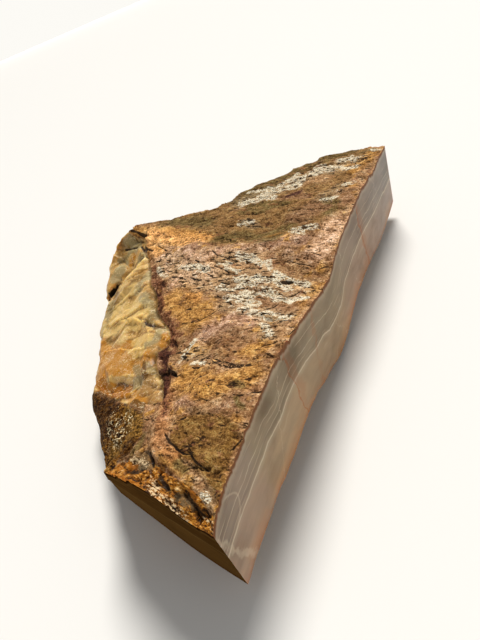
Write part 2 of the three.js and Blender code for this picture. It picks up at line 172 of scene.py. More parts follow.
# %% [markdown]
# Places on the stone are easiest to read in millimetres from the near corner, x along
# the long saw cut, y into the block and z up. The first helpers turn the mesh's corners
# into such places and back, and measure how far a place is behind each saw cut.

# %% Helpers for places
ON_PLANE = 0.01                                      # mm, a corner this close lies on a cut
SHORT_CUT = math.radians(77.5)                       # its direction in plan
SHORT_OUT = np.array([-math.sin(SHORT_CUT), math.cos(SHORT_CUT)])

def per_corner(mesh, what):
    """What the mesh keeps for each corner, such as its place, one row each."""
    flat = np.empty(len(mesh.vertices) * 3)
    mesh.vertices.foreach_get(what, flat)
    return flat.reshape(-1, 3)

def places(mesh):
    """The mesh's corners in millimetres from the near corner."""
    return (per_corner(mesh, "co") - [cad_low.x, cad_low.y, 0]) * 1000

def set_places(mesh, points):
    mesh.vertices.foreach_set("co", (points / 1000 + [cad_low.x, cad_low.y, 0]).ravel())
    mesh.update()

def off_long_cut(points):
    return points[:, 1]

def off_short_cut(points):
    return -(points[:, :2] @ SHORT_OUT)

def smooth(value, start, end):
    """0 at start, 1 at end, and an even curve in between."""
    t = np.clip((value - start) / (end - start), 0, 1)
    return t * t * (3 - 2 * t)

block_points = places(stone.data)
print("corners on the long cut:", int((off_long_cut(block_points) < ON_PLANE).sum()),
      "and on the short cut:", int((off_short_cut(block_points) < ON_PLANE).sum()))

# %% [markdown]
# Cracks, edges and patches are drawn in plan, as paths and outlines. These helpers tell
# how far each corner is from a path and on which side of it, how far it is from a few
# marks, and whether it is inside an outline.

# %% Helpers for paths and outlines
FAR = 1e9                                            # mm, farther than anything on the block

def beside(path, points):
    """Distance in plan from each point to an open path, and its side: 1 right, -1 left."""
    best = np.full(len(points), FAR)
    side = np.zeros(len(points))
    for (ax, ay), (bx, by) in zip(path, path[1:]):
        dx, dy = bx - ax, by - ay
        px, py = points[:, 0] - ax, points[:, 1] - ay
        t = np.clip((px * dx + py * dy) / (dx * dx + dy * dy), 0, 1)
        away = np.hypot(px - t * dx, py - t * dy)
        side = np.where(away < best, np.sign(px * dy - py * dx), side)
        best = np.minimum(best, away)
    return best, side

def path_distance(path, points):
    return beside(path, points)[0]

def mark_distance(marks, points):
    """Distance in plan from each point to the nearest of a few marks."""
    return np.min([np.hypot(points[:, 0] - x, points[:, 1] - y) for x, y in marks], axis=0)

def inside(outline, points):
    """True for each point within a closed outline, in plan."""
    odd = np.zeros(len(points), bool)
    for (ax, ay), (bx, by) in zip(outline, outline[1:] + outline[:1]):
        if ay != by:
            crosses = (ay > points[:, 1]) != (by > points[:, 1])
            odd ^= crosses & (points[:, 0] < (bx - ax) * (points[:, 1] - ay) / (by - ay) + ax)
    return odd

def within(outline, points, fade):
    """1 inside an outline and 0 outside, fading over a few millimetres at its edge."""
    away = path_distance(outline + outline[:1], points)
    return smooth(np.where(inside(outline, points), away, -away), -fade, fade)

print("5 mm to the right of a path:", *beside([(0, 0), (0, 10)], np.array([[5.0, 5.0, 0.0]])))

# %% [markdown]
# The skin needs many small faces for its flakes, the belly far fewer, and the flat saw
# cuts none. So faces are chosen by where they look, and subdivided in steps, with the
# upper side finest. A face of a saw cut is one whose three corners all lie in its plane.

# %% Choose faces and refine them
TOP_FROM = 50                                        # mm, no face of the top is lower

def face_table(mesh):
    """Each triangle's three corners, its middle, its normal and its longest side, in mm."""
    points = places(mesh)
    index = np.empty(len(mesh.polygons) * 3, int)
    mesh.polygons.foreach_get("vertices", index)
    corners = points[index.reshape(-1, 3)]
    across = np.cross(corners[:, 1] - corners[:, 0], corners[:, 2] - corners[:, 0])
    normal = across / np.maximum(np.linalg.norm(across, axis=1), 1e-12)[:, None]
    sides = np.linalg.norm(corners - np.roll(corners, 1, axis=1), axis=2)
    return corners, corners.mean(axis=1), normal, sides.max(axis=1)

def sawn_faces(corners):
    """Which faces lie on the long cut, and which on the short one."""
    flat = corners.reshape(-1, 3)
    return [(off_cut(flat) < ON_PLANE).reshape(-1, 3).all(axis=1)
            for off_cut in (off_long_cut, off_short_cut)]

def refine(facing, longest, cuts):
    """Subdivides the natural faces that face up, out or down and are longer than a length."""
    corners, middle, normal, side = face_table(stone.data)
    up = (normal[:, 2] > 0.12) & (middle[:, 2] > TOP_FROM)
    down = normal[:, 2] < -0.5
    chosen = {"up": up, "down": down, "out": ~up & ~down}[facing]
    on_long, on_short = sawn_faces(corners)
    chosen &= ~on_long & ~on_short & (side > longest)
    bpy.ops.object.mode_set(mode="EDIT")
    bpy.ops.mesh.select_mode(type="FACE")
    bpy.ops.mesh.select_all(action="DESELECT")
    bpy.ops.object.mode_set(mode="OBJECT")
    stone.data.polygons.foreach_set("select", chosen)
    bpy.ops.object.mode_set(mode="EDIT")
    bpy.ops.mesh.subdivide(number_cuts=cuts)
    bpy.ops.mesh.select_all(action="SELECT")
    bpy.ops.mesh.quads_convert_to_tris()
    bpy.ops.object.mode_set(mode="OBJECT")
    print(int(chosen.sum()), "faces that look", facing, "got", cuts, "cuts:",
          len(stone.data.polygons), "faces")

for facing, longest, cuts in (
        ("up", 19, 1), ("up", 8, 4), ("up", 4, 1), ("out", 0, 3), ("down", 12, 4)):
    refine(facing, longest, cuts)

# %% [markdown]
# The stone has four kinds of surface, which the plan tells apart: the weathered skin,
# the broken honey slope beyond the skin's edge, a dark grainy lump at the slope's left
# end, and a strip of small ledges above the short cut. Each gets a weight from 0 to 1
# at every corner of the mesh, so that one kind can fade into the next. Two more weights
# tell the rough sides and the belly from the top. The lump and the strip share parts of
# the skin's edge.

# %% Kinds of surface
SKIN_EDGE = [
    (13, 4), (17, 11), (23, 20), (28, 30), (31, 41), (36, 58), (40, 71), (47, 85), (58, 100), (57, 115),
    (51, 128), (55, 131), (71, 130), (90, 134), (108, 151), (122, 160), (119, 145), (123, 131),
    (140, 143), (152, 151), (161, 162), (177, 176), (189, 180), (198, 169), (211, 171), (228, 185),
    (240, 201), (260, 224), (280, 236), (295, 247), (319, 274), (342, 287), (372, 310), (398, 333),
    (411, 335), (425, 350), (441, 366), (447, 386)]
BEYOND_SKIN = SKIN_EDGE + [(480, 480), (-60, 480), (-60, -20), (0, -20)]
LUMP_OUTLINE = [(30, 140), (48, 138)] + SKIN_EDGE[11:14] + [
    (106, 150), (114, 165), (121, 184), (128, 208), (134, 230), (140, 250), (145, 266), (149, 279),
    (153, 294), (60, 240), (20, 170)]
STRIP_OUTLINE = [(-10, -10)] + SKIN_EDGE[:11] + [(44, 136), (33, 143), (10, 143)]

def kinds(points, normal):
    """The weights of the kinds of surface at each corner."""
    slope = within(BEYOND_SKIN, points, 2)
    lump = slope * within(LUMP_OUTLINE, points, 6)
    strip = slope * within(STRIP_OUTLINE, points, 3)
    return {
        "skin": 1 - slope, "lump": lump, "strip": strip, "honey": np.clip(slope - lump - strip, 0, 1),
        "side": 1 - smooth(normal[:, 2], 0.05, 0.45) * smooth(points[:, 2], 44, 54),
        "belly": smooth(-normal[:, 2], 0.35, 0.7)}

points = places(stone.data)
normal = per_corner(stone.data, "normal")
kind = kinds(points, normal)
for name, weight in kind.items():
    print(name, "covers", int((weight > 0.5).sum()), "corners")

# %% [markdown]
# The CAD block is made of flat triangles about a centimetre wide, which still show. A
# Smooth modifier wears them away where the stone is weathered. Its vertex group leaves
# alone what should stay crisp: the saw cuts, the three flats it stands on, the steep
# faces of the ledges, and the facets of the honey slope.

# %% Wear away the coarse triangles
PADS = [(150, 105), (505, 95), (330, 325)]
PAD_EDGE = 26                                        # mm, a flat's radius and a little more
SHORT_REACH = 40                                     # mm, the short cut lies within this x
WEAR_LEVELS = 10

sawn_long = off_long_cut(points) < ON_PLANE
sawn_short = (off_short_cut(points) < ON_PLANE) & (points[:, 0] < SHORT_REACH)
sawn = sawn_long | sawn_short
on_pad = (mark_distance(PADS, points) < PAD_EDGE) & (points[:, 2] < 1)
steep = 1 - smooth(np.abs(normal[:, 2]), 0.70, 0.93)
crisp = np.maximum(steep * (1 - kind["side"]), kind["honey"] * 0.95)
wear = np.where(sawn | on_pad, 0, 1 - crisp)
group = stone.vertex_groups.new(name="worn")
for level in range(1, WEAR_LEVELS + 1):
    members = np.nonzero(np.round(wear * WEAR_LEVELS) == level)[0]
    group.add(members.tolist(), level / WEAR_LEVELS, "REPLACE")
smoothing = stone.modifiers.new("wear", "SMOOTH")
smoothing.factor = 0.5
smoothing.iterations = 12
smoothing.vertex_group = group.name
bpy.ops.object.modifier_apply(modifier=smoothing.name)
stone.vertex_groups.clear()
worn_by = np.linalg.norm(places(stone.data) - points, axis=1)
print("worn by up to", round(float(worn_by.max()), 1), "mm, on average", round(float(worn_by.mean()), 2))

# %% [markdown]
# Broken stone is not plain noise. Weathered skin comes away in thin flakes: each rises
# at a sharp foot and sinks slowly behind it, like a shingle. Crystals break along flat
# planes, so the honey slope is made of tilted cells. Noise only bends and interrupts
# these patterns and adds the grain.

# %% Patterns of broken stone
def field(points, size, seed, stretch=(1, 1, 1)):
    """Soft noise from about -1 to 1, with lumps of a size in mm, longer along stretched axes."""
    scaled = points / (size * np.array(stretch)) + seed * 17.31
    return np.array([noise.noise(place) for place in scaled.tolist()])

def shingles(across, pitch, bend, lift):
    """Flakes that lie over each other: (height 0..1, a weight at each flake's foot, for its dent and its
    painted shade).
    """
    turn = (across + bend) / pitch
    along = turn - np.floor(turn)
    return (1 - along) ** 1.4 * lift, smooth(along, 0.84, 0.97) * lift

def facets(points, size, tilt, step, seed):
    """Flat faces at angles: each cell is its own tilted plane. Also a random tone per cell."""
    height = np.empty(len(points))
    tone = np.empty(len(points))
    for i, place in enumerate((points / size + seed * 13.7).tolist()):
        place = Vector(place)
        centre = noise.voronoi(place)[1][0]
        chance = noise.cell_vector(centre)
        away = place - centre
        slant = away.x * (chance.x - 0.5) + away.y * (chance.y - 0.5)
        height[i] = size * tilt * slant + step * (chance.z - 0.5)
        tone[i] = chance.z
    return height, tone

print("noise at one place:", round(noise.noise(Vector((0.3, 0.2, 0.1))), 4))

# %% [markdown]
# A few long cracks and pits are so plain on this block that they are placed one by one.
# Each is a half width, a depth and a path in plan. The hollows are the same thing, on
# the broken slopes.

# %% Placed cracks and pits
CRACKS = [                                           # half width, depth, path
    (2.6, 4.0, (73, 87), (65, 76), (62, 69), (58, 61), (55, 53), (56, 46), (51, 40), (47, 34), (45, 28),
        (44, 22)), (1.6, 1.5, (58, 61), (62, 53), (57, 44)), (2.0, 2.0, (88, 78), (91, 71)),
    (1.1, 0.8, (91, 63), (94, 55), (94, 45), (91, 34), (85, 22)), (2.2, 2.5, (63, 5), (68, 3), (73, 1)),
    (1.6, 1.2, (38, 42), (41, 39), (43, 33), (42, 24)), (3.0, 3.0, (157, 101), (156, 93)),
    (2.0, 2.0, (159, 85), (154, 64), (150, 48), (149, 35), (150, 21)),
    (2.2, 2.0, (172, 93), (158, 64), (153, 44), (152, 25)),
    (0.9, 0.6, (122, 64), (122, 57), (115, 46), (110, 42)), (1.6, 1.0, (107, 68), (110, 62), (108, 53)),
    (3.0, 1.5, (119, 7), (120, 1)), (2.4, 3.0, (178, 25), (185, 12), (188, 1)),
    (2.6, 2.5, (198, 3), (208, 0)), (2.0, 2.0, (211, 7), (212, 0)),
    (2.6, 2.5, (319, 118), (328, 111), (325, 99)), (2.2, 2.0, (344, 124), (346, 114)),
    (2.6, 2.0, (363, 179), (350, 164), (343, 143)), (3.2, 2.5, (310, 189), (304, 178)),
    (2.4, 2.0, (347, 200), (339, 181)), (2.4, 2.0, (295, 133), (293, 121)),
    (1.8, 1.2, (338, 57), (333, 42), (330, 26)), (2.4, 2.0, (349, 249), (351, 235)),
    (2.0, 1.6, (228, 135), (235, 126), (243, 118)), (4.6, 5.0, (302, 53), (304, 44)),
    (3.2, 3.0, (196, 31), (197, 27)), (3.0, 2.5, (254, 46), (258, 43)),
    (2.2, 2.0, (316, 168), (305, 150), (308, 138)), (2.2, 2.0, (326, 155), (318, 137), (312, 119)),
    (2.4, 1.5, (421, 141), (421, 126)), (2.0, 1.5, (398, 302), (382, 277)),
    (2.4, 2.0, (278, 32), (285, 25)), (4.5, 3.5, (160, 144), (151, 126)),
    (4.0, 2.5, (457, 402), (450, 382), (438, 356)), (3.6, 2.5, (404, 337), (389, 310))]
HOLLOWS = [                                          # the same, on the slope and the strip
    (7, 10.0, (350, 417), (358, 413), (366, 409), (374, 404)),
    (5, 3.5, (456, 405), (449, 386), (445, 370), (437, 353)),
    (4, 3.0, (430, 371), (414, 350), (401, 332), (389, 313)),
    (4, 5.0, (243, 235), (235, 222), (232, 211), (233, 200)),
    (3, 2.0, (439, 419), (435, 401), (433, 384)),
    (8, 4.0, (377, 400), (391, 391), (395, 369), (401, 353)), (3, 2.5, (36, 73), (29, 63), (25, 55)),
    (1.6, 1.6, (19, 29), (15, 19), (13, 12), (6, 3)), (3, 3.0, (56, 97), (51, 92), (44, 86)),
    (2.5, 2.0, (58, 128), (66, 112), (62, 100))]

def nearest_path(paths, points):
    """Signed distance in mm to the nearest of several paths, its half width, and its depth."""
    best = np.full(len(points), FAR)
    signed, width, depth = np.zeros((3, len(points)))
    for half_width, deep, *path in paths:
        away, side = beside(path, points)
        nearer = away < best
        best = np.where(nearer, away, best)
        signed = np.where(nearer, side * away, signed)
        width = np.where(nearer, half_width, width)
        depth = np.where(nearer, deep, depth)
    return signed, width, depth

def carved(paths, points, wander):
    """How deep each corner is carved by the paths, in mm."""
    signed, width, depth = nearest_path(paths, points)
    return depth * (1 - smooth(np.abs(signed) + wander, 0.2 * width, 1.2 * width))

print(len(CRACKS), "placed cracks and", len(HOLLOWS), "hollows")

# %% [markdown]
# The slope is stepped where whole plates of crystal broke off. A step is a path too: the
# stone on its right-hand side stands up by its rise and sinks back over its reach.

# %% Steps of the slope
STEPS = [                                            # rise, reach, path
    (5.0, 26, (256, 270), (246, 240), (235, 215), (232, 200), (234, 188)),
    (3.0, 20, (216, 318), (210, 270), (197, 222), (196, 202)),
    (3.0, 22, (322, 273), (312, 294), (307, 321), (306, 352)),
    (3.5, 24, (277, 243), (274, 269), (271, 304), (259, 342)),
    (2.5, 14, (265, 243), (254, 256), (246, 272), (238, 292), (236, 324)),
    (3.0, 16, (360, 300), (352, 318), (345, 336), (340, 358)),
    (3.0, 14, (150, 180), (139, 193), (134, 214), (136, 240)),
    (3.0, 16, (62, 138), (72, 156), (78, 176), (72, 200)),
    (3.5, 12, (29, 30), (24, 44), (27, 62), (33, 80)),
    (2.5, 9, (16, 18), (12, 34), (16, 52), (20, 70), (26, 94))]

def placed_steps(points):
    """Height added by the steps, on the right-hand side of each path."""
    height = np.zeros(len(points))
    for rise, reach, *path in STEPS:
        away, side = beside(path, points)
        near = smooth(mark_distance((path[0], path[-1]), points), 0, 14) * (away < 3 * reach)
        height += np.where(side > 0, rise * np.exp(-away / reach) * near, 0)
    return height

print(len(STEPS), "steps, up to", max(rise for rise, *_ in STEPS), "mm high")

# %% [markdown]
# The skin's height is a stack of patterns: large and small shingles that run across it,
# bent and interrupted by noise, a slow swell, grains, and pits where flecks fell out.
# The placed cracks are cut into it.

# %% Height of the skin
LARGE_FLAKE, SMALL_FLAKE = 23, 9                     # mm from one flake's foot to the next

points = places(stone.data)
normal = per_corner(stone.data, "normal")
kind = kinds(points, normal)
count = len(points)
wander = 1.4 * field(points, 5, 21)
crack_depth = 0.6 * carved(CRACKS, points, 0.6 * wander) * kind["skin"]

bend = 11 * field(points, 34, 1) + 5 * field(points, 12, 2) + 1.5 * field(points, 5, 22)
patchy = smooth(field(points, 30, 3, (1, 1.5, 1)), -0.10, 0.25)
patchy_small = smooth(field(points, 17, 4, (1, 1.5, 1)), -0.15, 0.25)
large, large_foot = shingles(points[:, 0] - 0.12 * points[:, 1], LARGE_FLAKE, bend, patchy)
small, small_foot = shingles(points[:, 0] + 0.03 * points[:, 1], SMALL_FLAKE, 0.8 * bend, patchy_small)
fleck = field(points, 3.4, 5, (1, 1.8, 1))
pits = smooth(-fleck, 0.18, 0.5)
swell = field(points, 20, 6, (1, 1.5, 1))
grain = field(points, 4.6, 7)
skin_height = (2.0 * large + 1.0 * small + 1.3 * swell + 0.6 * grain - 1.3 * pits
               - 1.0 * large_foot - 0.5 * small_foot - 1.5)
print("skin from", round(float(skin_height.min()), 1), "to", round(float(skin_height.max()), 1), "mm")

# %% [markdown]
# The slope is flat facets in two sizes, the small ones only in chipped areas. The strip
# is small steep facets, nearly ledges, and the lump is coarse grain.

# %% Height of the broken slope
LARGE_FACET, SMALL_FACET, STRIP_FACET = 30, 12, 11   # mm

hollow_depth = carved(HOLLOWS, points, wander) * (1 - kind["skin"])
stretched_points = points * [1.0, 0.6, 1.0]
plane, plane_tone = facets(stretched_points, LARGE_FACET, 0.16, 1.4, 1)
chip, chip_tone = facets(stretched_points, SMALL_FACET, 0.16, 0.5, 2)
chipped = np.maximum(smooth(field(points, 40, 23), -0.1, 0.3),
                     1.8 * (1 - smooth(points[:, 0], 150, 185)))
honey_height = plane + chip * chipped + 0.12 * grain - 0.8
strip_plane, strip_tone = facets(points, STRIP_FACET, 0.9, 3.6, 3)
strip_height = strip_plane + 0.9 * grain + 0.8 * chip - 0.8
lump_height = (1.5 * field(points, 10, 8) + 1.2 * grain + 0.9 * field(points, 2.9, 9)
               + 0.4 * strip_plane - 0.6)
print("facets from", round(float(honey_height.min()), 1), "to", round(float(honey_height.max()), 1), "mm")

# %% [markdown]
# Three forms of the top are placed. The skin ends in a low overhang above the slope. A
# crest runs across the block and on along the long cut, and the skin falls away beyond
# it. By the near corner one large flake stands a little proud. All heights are then
# added up, each by its kind's weight.

# %% Edge, crest and plate
CREST = [
    (470, 372), (449, 304), (418, 250), (389, 205), (379, 168), (372, 123), (382, 90), (390, 57),
    (408, 32), (448, 27), (489, 24), (560, 26), (640, 24)]
PAST_CREST = CREST + [(700, 24), (700, 500), (480, 500)]
PLATE = [
    (68, 79), (85, 83), (92, 73), (95, 48), (92, 21), (85, 7), (73, 5), (62, 4), (50, 3), (33, 0),
    (20, 0), (36, 21), (41, 30), (48, 41), (46, 50), (52, 60)]

to_edge = path_distance(SKIN_EDGE, points)
overhang = 1.6 * np.exp(-to_edge / 9) * kind["skin"] - 3.2 * np.exp(-to_edge / 7) * kind["honey"]
to_crest = path_distance(CREST, points)
past_crest = within(PAST_CREST, points, 7)
crest_height = 2.4 * np.exp(-(to_crest / 13) ** 2) - 2.0 * past_crest * np.exp(-to_crest / 30)
plate_height = 1.3 * within(PLATE, points, 1.5)
up = (kind["skin"] * (skin_height + crest_height + plate_height) + kind["honey"] * honey_height
      + kind["lump"] * lump_height + kind["strip"] * strip_height + overhang
      + placed_steps(points) * (1 - kind["skin"]) - crack_depth - hollow_depth)
print("the top moves from", round(float(up.min()), 1), "to", round(float(up.max()), 1), "mm")

# %% [markdown]
# The rough sides break in level ledges, and the belly in soft lumps that fade out round
# the flats. A deep hole lies between the far wall and the near ledge. The belly's edge
# along the long cut is chipped too: a table says how far it is lifted at each place
# along the cut, and the lift fades out behind the cut's face.

# %% Sides, belly and foot
FOOT_LIFT = [                                        # x, lift
    (0, 0), (8, 1), (22, 3.2), (36, 2.4), (50, 2.8), (64, 1.1), (80, 1.7), (90, 2.6), (100, 1),
    (118, 0.7), (144, -0.8), (164, 0), (198, 0), (214, 2.1), (232, 1.8), (247, 2.5), (263, 2.8),
    (279, 0.3), (295, 0), (325, 1.3), (361, 0.5), (405, 0.5), (423, -0.8), (443, 1), (465, 2),
    (515, 1.8), (537, 0.4), (580, 1.1), (622, -0.5), (660, 0)]
HOLE = [(354, 415, 55), (373, 406, 57)]              # its two ends
HOLE_DEPTH = 7                                       # mm
SIDE_LEDGE = 13                                      # mm from one ledge to the next

strata, _ = shingles(points[:, 2], SIDE_LEDGE, 5 * field(points, 40, 10), patchy)
side_out = (2.2 * field(points, 26, 11) + 1.1 * field(points, 9, 12) + 0.5 * grain
            + 2.0 * strata + 0.6 * chip - 1.0)
belly_out = 1.8 * field(points, 30, 13) + 0.9 * field(points, 11, 14) + 0.4 * grain
belly_out *= smooth(mark_distance(PADS, points), PAD_EDGE, PAD_EDGE + 20)

hole_start, hole_end = np.array(HOLE, float)
hole_run = hole_end - hole_start
along_hole = np.clip(((points - hole_start) @ hole_run) / (hole_run @ hole_run), 0, 1)
to_hole = np.linalg.norm(points - hole_start - along_hole[:, None] * hole_run, axis=1)
hole_depth = HOLE_DEPTH * (1 - smooth(to_hole, 3, 10))

lift_x, lift_z = np.array(FOOT_LIFT, float).T
long_lift = np.interp(points[:, 0], lift_x, lift_z) * (1 - smooth(off_long_cut(points), 2, 22))
short_lift = 1.3 * (1 - smooth(off_short_cut(points), 2, 16)) * (points[:, 0] < 60)
at_foot = smooth(-normal[:, 2], 0.1, 0.4)
foot_lift = np.maximum(long_lift * at_foot, short_lift * at_foot)
print("the foot is lifted by up to", round(float(foot_lift.max()), 1), "mm")

# %% [markdown]
# Now the corners are moved. On top each moves up or down, and on the rough sides and
# the belly along its own normal. A corner that lies on a saw cut may only slide in the
# plane of that cut, so the cut stays flat and its rim becomes as rough as the skin. Last,
# nothing may leave the CAD block's box or cross the short cut's plane.

# %% Move the corners
FLOOR_GAP = 0.5                                      # mm, the belly clears the floor by this

move = normal * (kind["side"] * (1 - kind["belly"]) * side_out + kind["belly"] * belly_out
                 - hole_depth)[:, None]
move[:, 2] += foot_lift + up * (1 - kind["side"])
move[sawn, :2] = 0
moved = points + move
moved[~on_pad, 2] = np.maximum(moved[~on_pad, 2], FLOOR_GAP)
moved[on_pad] = points[on_pad]
box = np.array([cad_high.x - cad_low.x, cad_high.y - cad_low.y, cad_high.z]) * 1000
moved[:, 2] = np.minimum(moved[:, 2], box[2])
moved[:, :2] = np.clip(moved[:, :2], 0, box[:2])
past_short = np.maximum(moved[:, :2] @ SHORT_OUT, 0) * (points[:, 0] < SHORT_REACH)
moved[:, :2] -= past_short[:, None] * SHORT_OUT
set_places(stone.data, moved)
print("moved by up to", round(float(np.linalg.norm(moved - points, axis=1).max()), 1), "mm; box now",
      moved.min(axis=0).round(1), moved.max(axis=0).round(1))

# %% [markdown]
# Colour follows the stone's story: rust where water ran, white crust where lime came
# out, olive beyond the crest, which is partly its own colour and partly painted shade
# where the skin falls away from the light, and a purple-brown rim along the skin's edge.
# Each is a few patches in plan: a half width and a path. These are the skin's patches.
# They can be simple, because the materials break up their borders with noise.

# %% Colour patches of the skin
PURPLE_RIM = [
    (352, 284), (326, 275), (299, 244), (281, 233), (262, 223), (245, 195), (229, 173), (210, 156),
    (198, 153), (187, 156), (184, 170), (172, 158), (154, 138), (139, 136), (115, 116), (98, 106)]
PURPLE_BLOTS = [                                     # half width, path
    (10, (320, 267), (297, 238)), (6, (288, 238), (264, 215)), (6, (136, 138), (121, 120)),
    (9, (253, 214), (235, 187)), (8, (226, 180), (200, 158))]
SKIN_PATCHES = {                                     # half width, path
    "crust": [
        (7, (303, 112), (303, 95), (302, 79), (303, 61)), (5, (338, 84), (327, 78)),
        (5, (318, 68), (311, 54), (306, 42)), (7, (265, 106), (263, 88), (257, 68)),
        (6, (280, 94), (272, 78)), (7, (283, 69), (272, 49), (263, 29), (269, 12)),
        (5, (296, 52), (292, 40)), (5, (303, 34), (300, 23)),
        (8, (248, 77), (238, 54), (230, 32), (231, 19)), (6, (350, 133), (346, 114), (336, 95)),
        (7, (335, 218), (334, 193), (320, 168)), (5, (324, 139), (319, 120)), (5, (216, 40), (196, 25)),
        (6, (297, 99), (293, 86)), (7, (599, 102), (600, 89)), (5, (287, 134), (282, 112), (293, 103)),
        (3.5, (198, 125), (184, 127), (169, 130)), (4, (344, 271), (320, 240)),
        (5, (164, 103), (161, 89)), (4, (332, 153), (332, 140)), (3.5, (25, 18), (20, 11)),
        (12, (502, 190), (500, 166), (499, 145)), (11, (523, 169), (532, 141), (536, 110)),
        (12, (541, 120), (556, 108)), (6, (548, 208), (540, 176), (545, 154), (560, 137), (588, 133)),
        (9, (564, 123), (578, 106), (594, 88), (594, 74)), (10, (558, 116), (566, 98), (577, 74)),
        (6, (511, 29), (511, 19)), (6, (594, 74), (580, 48), (577, 31)),
        (8, (612, 64), (618, 51), (609, 36)), (5, (429, 168), (430, 145)),
        (9, (396, 66), (398, 51), (399, 42)), (6, (392, 62), (388, 52)), (6, (471, 51), (472, 34)),
        (4, (628, 18), (625, 4))],
    "haze": [
        (22, (354, 263), (321, 197), (298, 143), (281, 100)), (13, (254, 104), (248, 87)),
        (19, (314, 100), (290, 45), (283, 24)), (12, (183, 122), (174, 103)),
        (25, (510, 193), (538, 138), (572, 88), (596, 45)), (9, (429, 158), (423, 142)),
        (9, (397, 59), (399, 48)), (16, (480, 49), (508, 36)), (13, (343, 154), (346, 114)),
        (9, (225, 46), (194, 24)), (13, (240, 53), (229, 20)), (5, (27, 16), (20, 9))],
    # cream patches; the long ones beside the crest are a painted highlight on its lit side
    "cream_and_highlight": [
        (7, (348, 61), (342, 48)), (9, (387, 312), (370, 280), (363, 246)), (8, (354, 258), (332, 244)),
        (20, (305, 208), (314, 193), (316, 168)),
        (13, (345, 219), (357, 180), (367, 136), (371, 94), (373, 52)),
        (11, (99, 97), (106, 92), (104, 76)), (14, (200, 110), (230, 90), (225, 60)),
        (18, (440, 351), (410, 306), (396, 267), (372, 221)),
        (18, (350, 25), (371, 19), (389, 13), (407, 11))],
    "russet": [(9, (140, 140), (112, 112), (88, 100), (70, 92)), (6, (62, 92), (58, 76), (50, 60))],
    "moss": [
        (9, (482, 176), (481, 146), (478, 108)), (9, (72, 126), (63, 126), (57, 131)),
        (4, (111, 24), (102, 10)), (8, (431, 30), (440, 20)), (5, (44, 53), (40, 43)),
        (9, (475, 48), (455, 26)), (10, (464, 174), (464, 143), (474, 120)),
        (18, (549, 224), (567, 188), (583, 152)), (10, (629, 108), (637, 82)),
        (6, (630, 37), (627, 14)), (11, (395, 200), (392, 155)), (4, (127, 32), (124, 22)),
        (8, (378, 114), (385, 84)), (20, (466, 320), (471, 283), (451, 240)),
        (12, (397, 176), (402, 153), (391, 124), (401, 105), (409, 78)),
        (22, (515, 206), (536, 194), (558, 173), (587, 154), (610, 135), (624, 106), (640, 82),
            (652, 60))],
    "maroon": [
        (5, (501, 115), (511, 99)), (9, (211, 189), (193, 174), (174, 155)),
        (8, (162, 156), (146, 146), (130, 136)), (4, (300, 250), (288, 240))],
    "pink": [
        (20, (350, 26), (377, 16), (407, 8)), (12, (535, 100), (540, 72)),
        (36, (330, 200), (305, 130), (285, 70), (270, 30)), (22, (358, 279), (325, 226), (332, 192)),
        (10, (85, 90), (65, 87)), (10, (332, 148), (352, 130)), (9, (88, 112), (74, 100), (60, 92))],
    "peach": [
        (7, (276, 172), (267, 154)), (15, (433, 342), (412, 275), (395, 210)),
        (11, (398, 328), (381, 293))],
    "ochre": [
        (13, (584, 49), (593, 19)), (12, (474, 29), (500, 19)), (9, (384, 101), (394, 93)),
        (22, (442, 370), (419, 311), (416, 269), (401, 236)), (14, (456, 396), (446, 350), (430, 296)),
        (24, (269, 199), (255, 169), (236, 141)), (19, (144, 107), (124, 64), (128, 41), (136, 23)),
        (6, (343, 42), (334, 21), (328, 11)), (12, (566, 30), (592, 24), (618, 14)),
        (7, (92, 13), (98, 6)), (11, (183, 122), (188, 101)), (12, (184, 63), (172, 35), (178, 24)),
        (8, (233, 14), (261, 13), (298, 8)), (7, (55, 76), (44, 58), (38, 46))],
    "mauve": [
        (8, (344, 42), (336, 22)), (12, (495, 119), (505, 103), (491, 85)), (9, (377, 49), (357, 51)),
        (15, (195, 86), (197, 75), (184, 58)), (11, (209, 106), (212, 85)),
        (8, (89, 111), (74, 94), (65, 79)), (20, (280, 116), (279, 86), (266, 48), (245, 27)),
        (24, (430, 70), (453, 48), (476, 26)), (9, (75, 75), (68, 63)), (9, (378, 111), (363, 61)),
        (10, (113, 28), (103, 14), (98, 2)), (8, (201, 109), (193, 96)), (5, (98, 37), (103, 33))],
}
print(sum(len(patches) for patches in SKIN_PATCHES.values()), "patches in", len(SKIN_PATCHES), "colours")
